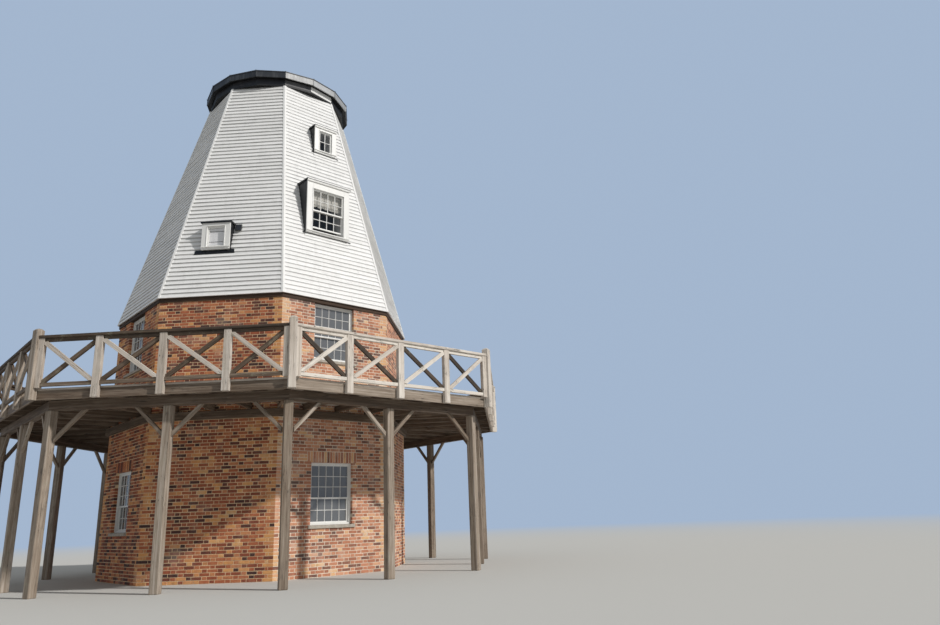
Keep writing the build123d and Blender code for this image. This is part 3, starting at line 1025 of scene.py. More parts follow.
KERB_PAINT = Lead("kerb paint", 0.55, KERB_STOPS, (0.45, 0.45, 0.44), 0.0)
# Bricks and mortar each come in two copies: a darker one painted for the shade of most sides, and a paler one
# painted for the light on the sunny sides.
BRICK_CLAY = Clay("brick clay", 0.9, BRICK_STOPS, (0.6, 0.5, 0.41), (0.1, 0.062, 0.052))
SUNLIT_CLAY = Clay("sunlit brick clay", 0.9, SUNLIT_BRICK_STOPS, (0.7, 0.62, 0.55), (0.2, 0.14, 0.12))
PLASTER, INNER_RADIUS = (0.62, 0.6, 0.55), 3.5
LIME_MORTAR = Mortar("lime mortar", 0.95, (0.88, 0.66, 0.42), (0.6, 0.42, 0.25), PLASTER, INNER_RADIUS)
PALE_MORTAR = Mortar("pale lime mortar", 0.95, (0.87, 0.78, 0.64), (0.64, 0.53, 0.4), PLASTER, INNER_RADIUS)
SILVER_OAK = Timber("silver oak", 0.8, OAK_STOPS, (0.02, 0.016, 0.013), (0.33, 0.34, 0.25), 0.35)
STAINED_OAK = Timber("stained oak", 0.7, OAK_STOPS, (0.012, 0.009, 0.008), (0.12, 0.1, 0.07), 0.2)
FLOOR_OAK = Timber("floor oak", 0.6, OAK_STOPS, (0.05, 0.03, 0.02), (0.3, 0.2, 0.1), 0.1, Place.OBJECT)
LEAD_SHEET = Lead("lead sheet", 0.5, LEAD_STOPS, (0.55, 0.56, 0.55))
ROOF_LEAD = Lead("roof lead", 0.5, ROOF_STOPS, (0.45, 0.46, 0.46))
SILL_OAK = Timber("sill oak", 0.8, SILL_STOPS, (0.008, 0.005, 0.004), (0.1, 0.08, 0.05), 0.15)
SILL_STONE = Stone("sill stone", 0.85, (0.5, 0.46, 0.4), (0.36, 0.33, 0.28), 12.0, 0.002)
BLIND_CLOTH = Cloth("blind cloth", 0.95, (0.9, 0.88, 0.83), (0.78, 0.75, 0.68), 900.0)
INNER_PAINT = Paint("inner board paint", 0.5, (0.88, 0.88, 0.9), (0.82, 0.82, 0.84), (0.34, 0.33, 0.33), 0.2)
IRON = Stone("black iron", 0.5, (0.025, 0.025, 0.026), (0.045, 0.04, 0.036), 30.0, 0.001)
QUARRY_TILES = Tiles("quarry tiles", 0.7, (0.33, 0.13, 0.08), (0.25, 0.1, 0.07), (0.3, 0.27, 0.23), 0.23)
WINDOW_GLASS = Pane(
    "window glass", 0.04, (0.018, 0.022, 0.026), (0.17, 0.175, 0.18), (0.8, 0.04, 0.15), (6.4, 8.4)
)


# The mill's sizes


@dataclass(frozen=True)
class Dormer:
    """A box dormer on a battered side: its size, its place, its sash and the lead under it."""

    width: float
    height: float
    foot: float
    shift: float
    proud: float
    side: float
    head: float
    cill: float
    columns: int
    rows: int
    sliding: bool = False
    boarded: bool = False
    lead: float = 0.03
    lead_reach: Pair = (0.06, 0.1)

    @property
    def ends(self) -> Pair:
        """Its left and right edge along the side."""
        return self.shift - self.width / 2, self.shift + self.width / 2

    @property
    def hole(self) -> Hole:
        """The clear opening: left, right, foot and head."""
        left, right = self.ends
        return left + self.side, right - self.side, self.foot + self.cill, self.foot + self.height - self.head


UPPER = Dormer(0.69, 0.79, 11.18, 0.22, 0.095, 0.15, 0.11, 0.07, columns=2, rows=2)
TALL = Dormer(1.27, 1.45, 8.37, -0.095, 0.115, 0.175, 0.21, 0.06, columns=4, rows=2, sliding=True)
SMALL = Dormer(
    0.72, 0.7, 7.77, -0.315, 0.1, 0.14, 0.09, 0.075, columns=1, rows=1,
    boarded=True, lead=0.11, lead_reach=(0.17, 0.11),
)
DORMERS: dict[Side, tuple[Dormer, ...]] = {
    Side.FRONT: (SMALL,),
    Side.FRONT_RIGHT: (UPPER, TALL),
    Side.BACK: (SMALL,),
    Side.BACK_LEFT: (UPPER, TALL),
}


@dataclass(frozen=True)
class Mill:
    """The mill's main sizes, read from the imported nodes."""

    brick_out: float
    brick_top: float
    smock_out: float
    smock_foot: float
    smock_head_out: float
    smock_top: float
    rim_out: float
    rim_foot: float
    deck: float
    rail_top: float
    kerb_top: float
    roof_out: float
    roof_top: float

    @classmethod
    def from_frame(cls, smock_thickness: float = 0.16) -> Mill:
        """Read the sizes.

        Args:
            smock_thickness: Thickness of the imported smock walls.

        Returns:
            The mill's sizes.
        """
        brick, smock, rim = (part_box(name) for name in ("brick_wall_front", "smock_wall_front", "deck_rim"))
        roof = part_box("cap_roof")
        return cls(
            brick_out=-brick[0].y,
            brick_top=brick[1].z,
            smock_out=-smock[0].y,
            # Sides in the sun: their bricks and mortar take the paler copies painted for light, and their
            # boards get only faint painted shade under the laps.
            smock_foot=smock[0].z,
            smock_head_out=smock_thickness - smock[1].y,
            smock_top=smock[1].z,
            rim_out=-rim[0].y,
            rim_foot=rim[0].z,
            deck=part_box("deck_boards")[1].z,
            rail_top=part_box("railing_front")[1].z,
            kerb_top=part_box("kerb_ring")[1].z,
            roof_out=-roof[0].y,
            roof_top=roof[1].z,
        )

    @property
    def lean(self) -> float:
        """How far a smock side leans in from upright, in radians."""
        return math.atan2(self.smock_out - self.smock_head_out, self.smock_top - self.smock_foot)

    @property
    def slope(self) -> float:
        """Length of a smock side measured up its slope."""
        return math.hypot(self.smock_out - self.smock_head_out, self.smock_top - self.smock_foot)

    def smock_at(self, height: float) -> float:
        """Distance from the axis to a smock side's outer face at a height."""
        return self.smock_out - (height - self.smock_foot) * math.tan(self.lean)

    def on_slope(self, up: Array, proud: Array) -> tuple[Array, Array]:
        """Outwards distance and height of points given by their way up the slope and off it."""
        out = self.smock_out - up * math.sin(self.lean) + proud * math.cos(self.lean)
        return out, self.smock_foot + up * math.cos(self.lean) + proud * math.sin(self.lean)


def without(spans: list[Pair], low: float, high: float) -> list[Pair]:
    """Take a stretch out of every span that it meets.

    Args:
        spans: Pairs of (start, end).
        low: Start of the stretch.
        high: End of the stretch.

    Returns:
        What is left of the spans.
    """
    ends = [(start, min(end, low)) for start, end in spans]
    ends += [(max(start, high), end) for start, end in spans]
    return [(start, end) for start, end in ends if start < end]


def plates(outline: Array, low: float, high: float, chamfer: float, rng: Rng) -> Swept:
    """Flat planks with convex outlines drawn in the plane of a side.

    Each outline is carried from low to high, and drawn in by the chamfer at both faces. A corner
    drawn in moves by the sum of its two edges' inward normals over one plus their product.

    Args:
        outline: Corners as (along, up), anticlockwise, shape (pieces, corners, 2).
        low: Nearer face's distance from the axis.
        high: Farther face's distance from the axis.
        chamfer: Size of the cut round both faces.
        rng: Random draws.

    Returns:
        Rings of points and of grain places, which run towards the corner farthest from the middle.
    """
    edge = unit(np.roll(outline, -1, axis=1) - outline)
    inward = np.stack([-edge[..., 1], edge[..., 0]], -1)
    before = np.roll(inward, 1, axis=1)
    product = (inward * before).sum(-1, keepdims=True)
    drawn = outline + chamfer * (inward + before) / (1 + product)
    flat = np.stack([drawn, outline, outline, drawn], 1)
    out = np.array([low, low + chamfer, high - chamfer, high])[None, :, None]
    reach = outline - outline.mean(1, keepdims=True)
    longest = np.argmax((reach**2).sum(-1), axis=1)
    ahead = unit(reach[np.arange(len(reach)), longest])
    beside = np.stack([-ahead[:, 1], ahead[:, 0]], -1)
    along, across = ((flat * way[:, None, None]).sum(-1) for way in (ahead, beside))
    return at(flat[..., 0], out, flat[..., 1]), scattered(at(along, across, out), rng)


def round_the_mill(make: Callable[[Side], Part], turn: float = 0.0) -> Draft:
    """Gather what one function makes for each side in turn.

    Args:
        make: Gives a side's rings with their grain places, in its own axes, and their shades.
        turn: A further turn, such as half a side's for what stands at the corners.

    Returns:
        A draft of all the sides.
    """
    draft = Draft()
    for side in Side:
        draft.sweep(*make(side), side.angle + turn)
    return draft


def surround(
    jambs: Pair, rise: Pair, lintel: tuple[float, float, float], out: float
) -> tuple[Array, Array, Array]:
    """Two jambs and the head between them, as bars take them.

    Args:
        jambs: Places of the jambs along the side.
        rise: Foot and head of the jambs.
        lintel: Left end, right end and level of the head.
        out: Distance from the axis.

    Returns:
        First ends, last ends and directions of the sections' width.
    """
    (first, second), (foot, head), (left, right, level) = jambs, rise, lintel
    start = at([first, second, left], out, [foot, foot, level])
    end = at([first, second, right], out, [head, head, level])
    return start, end, np.array([ALONG, ALONG, UP])


# Sub-assemblies


@dataclass(frozen=True)
class Boarding:
    """Feather-edged weatherboards over the smock's sides.

    Seen in section, a board's face falls from butt at its foot to thin at its head, and each
    board laps over the head of the one below. No joint is nearer to a mitre than the margin, and
    no board is shorter than scrap.
    """

    mill: Mill
    exposure: float = 0.1265
    lap: float = 0.03
    butt: float = 0.034
    arris: float = 0.003
    thin: float = 0.005
    drip: float = 0.012
    joint: float = 0.0025
    shortest: float = 1.1
    longest: float = 3.4
    margin: float = 0.4
    scrap: float = 0.05
    hidden: float = 0.08
    clearance: float = 0.02

    def spans(self, side: Side, rng: Rng) -> Array:
        """Where a side's boards lie.

        Args:
            side: Which side.
            rng: Random draws.

        Returns:
            Rows of (foot up the slope, left end, right end); an endless end is a mitre.
        """
        found = []
        for foot in np.arange(-self.drip, self.mill.slope - self.lap, self.exposure):
            out, height = self.mill.on_slope(foot, self.butt)
            half = out * SLANT
            spans = [(-math.inf, math.inf)]
            place = -half + rng.uniform(self.shortest, self.longest)
            while place < half - self.margin:
                spans = without(spans, place - self.joint / 2, place + self.joint / 2)
                place += rng.uniform(self.shortest + 1.0, self.longest)
            for dormer in DORMERS.get(side, ()):
                left, right, _, head = dormer.hole
                if dormer.foot - self.hidden < height < head:
                    spans = without(spans, left - self.clearance, right + self.clearance)
            found += [(foot, start, end) for start, end in spans if end - start > self.scrap]
        return np.array(found)

    def build(self, side: Side) -> None:
        """Lay one side's boards, as a section carried along seven stations of each board.

        Args:
            side: Which side.
        """
        rng = np.random.default_rng(100 + side.value)
        rows = self.spans(side, rng)
        boards = len(rows)
        head = np.minimum(self.exposure + self.lap, self.mill.slope - rows[:, 0])
        back = self.butt - (self.butt - self.thin) * self.exposure / (self.exposure + self.lap)
        zero = np.zeros(boards)
        up = np.stack([zero, zero, zero + self.arris, head, head, zero + self.lap * 0.9], -1)
        off = np.array([back, self.butt - self.arris, self.butt, self.thin, 0.001, 0.004])
        share = np.linspace(0, 1, 7)
        phase = rng.uniform(0, math.tau, (2, boards, 1))
        wave = np.sin(4.5 * share + phase) * np.array([0.0013, 0.0016])[:, None, None]
        lift = rng.normal(0, 0.0009, (boards, 1))
        up = up[:, None] + rows[:, :1, None] + (wave[0] + lift)[..., None]
        out, height = self.mill.on_slope(up, off + wave[1][..., None])
        mitre = out * SLANT
        start, end = rows[:, 1, None, None], rows[:, 2, None, None]
        start, end = np.where(np.isinf(start), -mitre, start), np.where(np.isinf(end), mitre, end)
        along = start + (end - start) * share[None, :, None]
        grain = scattered(at(along, up, off), rng, np.array([1, 0.02, 0.02]))
        draft = Draft()
        draft.sweep((at(along, out, height), grain), rng.uniform(0, 1, boards) ** 1.6, side.angle)
        add_piece(draft, f"weatherboards_{side.label}", self.finish(side), Slot.WHITE_BOARDS)

    def finish(self, side: Side) -> BoardPaint:
        """The boards' paint, with painted shade under the laps: faint on the sunny sides and deep on the
        others.

        Args:
            side: Which side.

        Returns:
            The paint.
        """
        # Sunny sides get faint painted shade under the laps, the others deep.
        name, lap_shade = ("sunny board paint", 0.12) if side in SUNNY else ("board paint", 0.62)
        lean = self.mill.lean
        arris = self.mill.smock_foot - self.drip * math.cos(lean) + self.butt * math.sin(lean)
        return BoardPaint(
            name, 0.55, BOARD_WHITE, BOARD_WORN, BOARD_GRIME_AND_SHADE, 0.18,
            foot=arris - 0.004, pitch=self.exposure * math.cos(lean), lap_shade=lap_shade,
        )


@dataclass(frozen=True)
class Opening:
    """A hole in a brick side, with its sill stone and its lintel of bricks on end."""

    left: float
    right: float
    foot: float
    head: float
    reveal: float
    sill_height: float = 0.0
    horn: float = 0.0
    lintel: bool = False


def tower_openings(side: Side, mill: Mill) -> tuple[Opening, ...]:
    """The openings of one side of the brick tower.

    Args:
        side: Which side.
        mill: The mill's sizes.

    Returns:
        The openings, lower one first.
    """
    if side in WINDOWED:
        ground, height, top = 1.125, 1.4, mill.brick_top
        low = Opening(-0.62, 0.5, ground, ground + height, 0.09, 0.075, 0.06, lintel=True)
        return low, Opening(-0.62, 0.5, top - height, top, 0.09, 0.075, 0.06)
    if side is Side.BACK:
        feet = 0.1, mill.deck + 0.05
        return tuple(Opening(-0.5, 0.5, foot, foot + 2.05, 0.12, lintel=True) for foot in feet)
    return ()


@dataclass(frozen=True)
class Brickwork:
    """Flemish bond: stretchers and headers by turns, with the headers over the stretchers."""

    mill: Mill
    courses: int = 85
    stretcher: float = 0.215
    header: float = 0.1025
    closer: float = 0.05125
    joint: float = 0.0135
    thickness: float = 0.0615
    proud: float = 0.0045
    arris: float = 0.003
    lip: float = 0.0015
    least: float = 0.045
    bearing: float = 0.11
    quoin: float = 0.15
    shallow: float = 0.004

    @property
    def pitch(self) -> float:
        """Height of a course with its joint."""
        return self.mill.brick_top / self.courses

    def bond(self, closers: bool) -> Array:
        """Divide a course into bricks, from mitre to mitre.

        Args:
            closers: Whether it starts with a header and a closer.

        Returns:
            Rows of (left, right).
        """
        if closers:
            middle = [self.stretcher, self.header] * 7 + [self.stretcher]
            sizes = np.array([self.header, self.closer, *middle, self.closer, self.header])
        else:
            sizes = np.array([self.stretcher] + [self.header, self.stretcher] * 8)
        ends = np.cumsum(sizes + self.joint)
        ends = np.stack([ends - sizes - self.joint, ends - self.joint], -1)
        half = (self.mill.brick_out + self.proud) * SLANT
        return (2 * ends / ends[-1, 1] - 1) * half

    def trimmed(self, bricks: Array, low: float, high: float, depth: float) -> Array:
        """Leave a stretch of a course free.

        Args:
            bricks: Rows of (left, right, depth).
            low: Its left end.
            high: Its right end.
            depth: How far back the bricks beside it go.

        Returns:
            The bricks that are left, with those beside the stretch made to meet it.
        """
        before = bricks[bricks[:, 0] < low - self.least].copy()
        after = bricks[bricks[:, 1] > high + self.least].copy()
        before[-1, 1:] = low + self.lip, max(depth, before[-1, 2])
        after[0, [0, 2]] = high - self.lip, max(depth, after[0, 2])
        return np.concatenate([before, after])

    def laid(self, side: Side) -> Array:
        """Lay out every brick of a side.

        Args:
            side: Which side.

        Returns:
            Rows of (left, right, foot, head, depth).
        """
        openings = tower_openings(side, self.mill)
        found = []
        for course in range(self.courses):
            foot = course * self.pitch
            middle = foot + self.pitch / 2
            bricks = self.bond((course + side.value) % 2 == 1)
            bricks = np.column_stack([bricks, np.full(len(bricks), self.shallow)])
            for hole in openings:
                reach, depth = 0.0, self.shallow
                if hole.foot < middle < hole.head:
                    depth = hole.reveal
                elif hole.foot - hole.sill_height < middle <= hole.foot:
                    reach = hole.horn
                elif hole.lintel and hole.head <= middle < self.lintel_head(hole):
                    reach = self.bearing
                else:
                    continue
                bricks = self.trimmed(bricks, hole.left - reach, hole.right + reach, depth)
            low = np.full(len(bricks), foot + self.joint / 2)
            found.append(np.column_stack([bricks[:, :2], low, low + self.pitch - self.joint, bricks[:, 2]]))
        found += [self.soldiers(hole) for hole in openings if hole.lintel]
        return np.concatenate(found)

    def lintel_head(self, hole: Opening) -> float:
        """The bed joint that a lintel reaches up to."""
        return self.pitch * round((hole.head + self.stretcher + self.joint) / self.pitch)

    def soldiers(self, hole: Opening) -> Array:
        """Stand a lintel's bricks on end.

        Args:
            hole: The opening under them.

        Returns:
            Rows of (left, right, foot, head, depth).
        """
        left, right = hole.left - self.bearing + self.joint, hole.right + self.bearing - self.joint
        count = round((right - left + self.joint) / (self.thickness + self.joint))
        ends = np.linspace(left, right + self.joint, count + 1)
        over = (ends[:-1] > hole.left - self.thickness) & (ends[1:] < hole.right + self.thickness)
        depth = np.where(over, hole.reveal, self.shallow)
        foot = np.full(count, hole.head - self.lip)
        head = np.full(count, self.lintel_head(hole) - self.joint / 2)
        return np.column_stack([ends[:-1], ends[1:] - self.joint, foot, head, depth])

    def build(self, side: Side) -> None:
        """Lay a side's bricks: a rectangle carried out to the arris, then drawn in to the face.

        Args:
            side: Which side.
        """
        rng = np.random.default_rng(200 + side.value)
        left, right, foot, head, depth = self.laid(side).T
        count = len(left)
        half = self.mill.brick_out * SLANT
        edge = np.minimum(left + half, half - right)
        shift = rng.normal(0, 0.0012, (2, count)) * (edge > 0.01)
        left, right = left + shift[0], right + shift[1]
        foot, head = foot + rng.normal(0, 0.0008, count), head + rng.normal(0, 0.0008, count)
        face = self.mill.brick_out + self.proud + rng.normal(0, 0.0009, count) * (edge > 0.01)
        out = np.stack([self.mill.brick_out - depth, face - self.arris, face], -1)
        inset = np.array([0, 0, self.arris])[:, None]
        along = np.stack([left, right, right, left], -1)[:, None] + inset * np.array([1, -1, -1, 1])
        up = np.stack([foot, foot, head, head], -1)[:, None] + inset * np.array([1, 1, -1, -1])
        rings = at(along, out[..., None], up)
        grain = scattered(rings, rng)
        tint = np.clip(rng.normal(0.42, 0.23, count), 0.02, 0.85)
        burnt = rng.uniform(0, 1, count) < 0.05
        orange = (edge < self.quoin) & (rng.uniform(0, 1, count) < 0.8)
        tint = np.where(burnt, 0.08, np.where(orange, rng.normal(0.8, 0.07, count), tint))
        draft = Draft()
        draft.sweep((rings, grain), tint, side.angle, open_start=True)
        # The sunny sides take the paler clay, painted for the light on them.
        add_piece(draft, f"bricks_{side.label}", SUNLIT_CLAY if side in SUNNY else BRICK_CLAY, Slot.BRICK)


def weather(side: Side, least: float, gain: float, count: int, rng: Rng) -> Array:
    """Shades of some timbers, paler by the gain on the sides that face the sun: partly sun-bleaching, partly
    painted light.
    """
    sunny = 0.5 + 0.5 * math.cos(side.angle - SUN_SIDE)
    return np.clip(least + gain * sunny + rng.normal(0, 0.05, count), 0, 1)


@dataclass(frozen=True)
class Gallery:
    """The deck round the tower: planks, rim, joists, ring beam, ledger, posts and knee braces."""

    mill: Mill
    plank_rows: int = 18
    plank_gap: float = 0.006
    plank_thickness: float = 0.04
    rim_thickness: float = 0.05
    rim_height: float = 0.19
    joist: Pair = (0.06, 0.15)
    joists_per_side: int = 5
    beam: Pair = (0.15, 0.2)
    beam_inset: float = 0.32
    ledger: Pair = (0.1, 0.18)
    post: float = 0.175
    brace_reach: float = 0.62
    brace: Pair = (0.075, 0.1)
    hip_radius: float = 3.9

    @property
    def joist_top(self) -> float:
        """Height of the planks' underside."""
        return self.mill.deck - self.plank_thickness

    @property
    def beam_out(self) -> float:
        """Distance from the axis to the ring beam's middle."""
        return self.mill.rim_out - self.beam_inset - self.beam[0] / 2

    @property
    def beam_foot(self) -> float:
        """Height of the ring beam's underside."""
        return self.joist_top - self.joist[1] - self.beam[1]

    def planks(self) -> None:
        """Planks along each side, mitred at the hips, a thin gap between them."""
        rng, rows, half_gap = np.random.default_rng(300), self.plank_rows, self.plank_gap / 2
        edges = np.linspace(self.mill.brick_out + 0.008, self.mill.rim_out + half_gap, rows + 1)
        out = np.stack([edges[:-1] + half_gap, edges[1:] - half_gap], -1)
        up = np.tile([self.joist_top, self.mill.deck], (rows, 1))
        uneven = np.arange(rows)[:, None] > 1
        draft = round_the_mill(lambda side: (
            mitred_bars(out, up + rng.normal(0, 0.0008, (rows, 1)) * uneven, 0.0035, 0.004, rng, bow=0.0008),
            weather(side, 0.42, 0.3, rows, rng),
        ))
        add_piece(draft, "deck_planks", SILVER_OAK, Slot.WEATHERED_OAK, "deck_boards")

    def rim(self) -> None:
        """Edge board of each side under the planks' ends."""
        rng = np.random.default_rng(301)
        out = [[self.mill.rim_out - self.rim_thickness, self.mill.rim_out - 0.001]]
        up = [[self.joist_top - self.rim_height, self.joist_top - 0.001]]
        draft = round_the_mill(lambda side: (
            mitred_bars(out, up, MITRE_GAP, 0.005, rng, bow=0.001), weather(side, 0.22, 0.3, 1, rng),
        ))
        add_piece(draft, "rim_boards", STAINED_OAK, Slot.DARK_OAK, "deck_rim")

    def joists(self) -> None:
        """Joists square to each side, cut back at the hips, and one joist under each hip."""
        rng, draft = np.random.default_rng(302), Draft()
        width, height = self.joist
        level = self.joist_top - height / 2
        spread = 2 * self.mill.rim_out * SLANT / (self.joists_per_side + 1)
        along = (np.arange(self.joists_per_side) - (self.joists_per_side - 1) / 2) * spread
        near = np.maximum(self.mill.brick_out + 0.001, (np.abs(along) + width / 2 + 0.039) / SLANT)
        far = self.mill.rim_out - self.rim_thickness - 0.001
        square = at(along, near, level), at(along, far, level)
        hip = (0, self.hip_radius, level), (0, (far - 0.012) / APOTHEM, level)
        for side in Side:
            made = bars(*square, ALONG, self.joist, 0.003, rng, inner=3, bow=0.001)
            draft.sweep(made, rng.normal(0.3, 0.05, len(along)), side.angle)
            made = bars(*hip, ALONG, self.joist, 0.003, rng, inner=3, bow=0.001)
            draft.sweep(made, 0.3, side.angle + HALF_SIDE)
        add_piece(draft, "joists", STAINED_OAK, Slot.DARK_OAK, "deck_joists")

    def posts(self) -> None:
        """Posts in the middle of each side and at each corner, with chamfered arrises."""
        rng, draft = np.random.default_rng(304), Draft()
        for step in range(2 * SIDES):
            out = self.beam_out / (APOTHEM if step % 2 else 1.0)
            ends = (0, out, 0.0), (0, out, self.beam_foot)
            made = bars(*ends, ALONG, (self.post, self.post), 0.014, rng, inner=5, bow=0.002)
            draft.sweep(made, rng.uniform(0.42, 0.6), step * HALF_SIDE)
        add_piece(draft, "gallery_posts", SILVER_OAK, Slot.WEATHERED_OAK, "deck_posts")

    def braces(self) -> None:
        """Knee braces from the middle and corner posts up to the ring beam."""
        rng, half = np.random.default_rng(305), self.post / 2
        corner = half * (APOTHEM + math.sin(HALF_SIDE) * SLANT) + self.joist[0] / 3
        corner = self.beam_out * SLANT - corner
        thick, wide = self.brace
        low, run = self.beam_foot - self.brace_reach, self.brace_reach
        outline = np.array([(0, low), (run, self.beam_foot), (run - wide, self.beam_foot), (0, low + wide)])
        shapes = np.array([
            (outline * (way, 1) + (start, 0))[::way]
            for start, way in ((half, 1), (-half, -1), (corner, -1), (-corner, 1))
        ])
        near = self.beam_out - thick / 2
        draft = round_the_mill(lambda side: (
            plates(shapes, near, near + thick, 0.006, rng), rng.uniform(0.4, 0.6, 4),
        ))
        add_piece(draft, "knee_braces", SILVER_OAK, Slot.WEATHERED_OAK, "deck_knee_braces")

    def bearers(self) -> None:
        """Ring beam on the posts, and the ledger bolted to the bricks."""
        rng, head = np.random.default_rng(303), self.joist_top - self.joist[1]
        for name, node, near, (depth, height) in (
            ("ring_beam", "deck_beams", self.beam_out - self.beam[0] / 2, self.beam),
            ("ledger_boards", "deck_ledgers", self.mill.brick_out, self.ledger),
        ):
            out, up = [[near, near + depth]], [[head - height, head - 0.0005]]
            made = [mitred_bars(out, up, MITRE_GAP, 0.006, rng, bow=0.001) for _ in Side]
            add_piece(round_the_mill(lambda side: (made[side], 0.28)), name, STAINED_OAK, Slot.DARK_OAK, node)

    def build(self) -> None:
        """Make the whole deck."""
        self.planks()
        self.rim()
        self.joists()
        self.bearers()
        self.posts()
        self.braces()


@dataclass(frozen=True)
class Railing:
    """The braced railing and its corner posts."""

    mill: Mill
    bays: int = 4
    inset: float = 0.05
    newel: float = 0.155
    newel_above: float = 0.145
    newel_bevel: float = 0.035
    post: Pair = (0.15, 0.1)
    stud: float = 0.088
    handrail: Pair = (0.14, 0.06)
    sub_rail: Pair = (0.06, 0.07)
    bottom_rail: Pair = (0.06, 0.075)
    bottom_clear: float = 0.025
    brace: Pair = (0.048, 0.088)

    @property
    def out(self) -> float:
        """Distance from the axis to the railing's middle."""
        return self.mill.rim_out + self.inset

    @property
    def gap(self) -> float:
        """Along a side, from the mitre to the corner post's cheek."""
        return self.newel / 2 / APOTHEM

    def edges(self) -> Array:
        """Place a side's two end studs and three posts.

        Returns:
            Rows of (left, right).
        """
        half = self.out * SLANT
        middles = -half + np.arange(1, self.bays) * 2 * half / self.bays
        inner = np.stack([middles - self.post[0] / 2, middles + self.post[0] / 2], -1)
        first = -half + self.gap
        return np.array([[first, first + self.stud], *inner, [-first - self.stud, -first]])

    def brace_outlines(self, rising: bool) -> Array:
        """One diagonal of each bay, its ends trimmed to the posts and rails.

        Args:
            rising: Whether it rises to the right.

        Returns:
            Corners as (along, up), shape (bays, 6, 2).
        """
        foot = self.mill.deck + self.bottom_clear + self.bottom_rail[1]
        head = self.mill.rail_top - self.handrail[1] - self.sub_rail[1]
        edges = self.edges()
        shapes = []
        for left, right in zip(edges[:-1, 1], edges[1:, 0]):
            angle = math.atan2(head - foot, right - left)
            flat, steep = self.brace[1] / 2 / math.sin(angle), self.brace[1] / 2 / math.cos(angle)
            shape = np.array([
                (left, foot), (left + flat, foot), (right, head - steep),
                (right, head), (right - flat, head), (left, foot + steep),
            ])
            if not rising:
                shape = (shape * (-1, 1) + (left + right, 0))[::-1]
            shapes.append(shape)
        return np.array(shapes)

    def build_side(self, side: Side) -> None:
        """Make one side's rails, posts, studs and crossed braces.

        Args:
            side: Which side.
        """
        rng, draft = np.random.default_rng(400 + side.value), Draft()
        under = self.mill.rail_top - self.handrail[1]
        low = self.mill.deck + self.bottom_clear
        rails = (
            (self.handrail[0], under, self.mill.rail_top, 0.01),
            (self.sub_rail[0], under - self.sub_rail[1], under - 0.0005, 0.004),
            (self.bottom_rail[0], low, low + self.bottom_rail[1], 0.004),
        )
        # How far the side faces the sun. Its rails are paler for it: partly sun-bleaching, partly painted
        # light.
        sunlit = min(max((math.cos(side.angle - SUN_SIDE) - 0.45) * 2.5, 0.0), 1.0)
        shades = 0.14 + np.array([0.72, 0.72, 0.6]) * sunlit + np.array([0.0, 0.06, 0.16])
        shades = shades + rng.normal(0, 0.03, len(rails))
        for (width, foot, head, chamfer), shade in zip(rails, shades):
            out = [[self.out - width / 2, self.out + width / 2]]
            made = mitred_bars(out, [[foot, head]], self.gap, chamfer, rng, inner=8, bow=0.0035)
            draft.sweep(made, shade, side.angle)
        middle = self.edges()[1:-1].mean(1)
        ends = at(middle, self.out, self.mill.rim_foot), at(middle, self.out, under)
        made = bars(*ends, ALONG, self.post, 0.006, rng, inner=4, bow=0.0015)
        draft.sweep(made, weather(side, 0.52, 0.38, len(middle), rng), side.angle)
        draft.sweep(self.studs(under, rng), weather(side, 0.46, 0.36, 2, rng), side.angle)
        for rising in (True, False):
            outside = rising == (side.value % 2 == 1)
            near = self.out if outside else self.out - self.brace[0]
            made = plates(self.brace_outlines(rising), near, near + self.brace[0], 0.003, rng)
            tint = weather(side, 0.48, 0.38, self.bays, rng)
            # Inner braces are darker as painted shade behind the outer ones, darker still on the sides that
            # face the sun.
            if not outside:
                tint = rng.normal(0.24 - 0.16 * sunlit, 0.03, self.bays)
            draft.sweep(made, tint, side.angle)
        name = f"gallery_railing_{side.label}"
        add_piece(draft, name, SILVER_OAK, Slot.WEATHERED_OAK, f"railing_{side.label}")

    def studs(self, under: float, rng: Rng) -> Swept:
        """The two end studs: a section in plan whose outer edge follows the corner post's cheek.

        Args:
            under: Height of the handrail's underside.
            rng: Random draws.

        Returns:
            Rings of points and of grain places, both (2, 2, 6, 3).
        """
        near, far, cut = self.out - self.post[1] / 2, self.out + self.post[1] / 2, 0.006
        edge = self.edges()[-1, 0]
        plan = np.array([
            (edge + cut, near), (near * SLANT - self.gap, near), (far * SLANT - self.gap, far),
            (edge + cut, far), (edge, far - cut), (edge, near + cut),
        ])
        plan = np.stack([plan, plan * (-1, 1)])[:, None]
        rings = at(plan[..., 0], plan[..., 1], np.array([self.mill.deck, under])[:, None])
        return rings, scattered(rings[..., [2, 0, 1]], rng)

    def newels(self) -> None:
        """Corner posts, their section drawn in to a bevelled head."""
        rng = np.random.default_rng(450)
        radius = self.out / APOTHEM
        half, head = self.newel / 2, self.mill.rail_top + self.newel_above
        up = np.array([self.mill.rim_foot, self.mill.deck, self.mill.rail_top, head - self.newel_bevel, head])
        scale = np.array([1, 1, 1, 1, (half - self.newel_bevel) / half])
        section = chamfered(np.array([[half, half]]), 0.009) * scale[:, None, None]
        rings = at(section[..., 0], section[..., 1] + radius, up[:, None])[None]
        grain = at(up[:, None], section[..., 0], section[..., 1])[None]
        draft = round_the_mill(lambda side: (
            (rings, scattered(grain, rng)), weather(side, 0.52, 0.36, 1, rng),
        ), HALF_SIDE)
        add_piece(draft, "newel_posts", SILVER_OAK, Slot.WEATHERED_OAK, "corner_posts")

    def build(self) -> None:
        """Make the railing of every side and the corner posts."""
        for side in Side:
            self.build_side(side)
        self.newels()


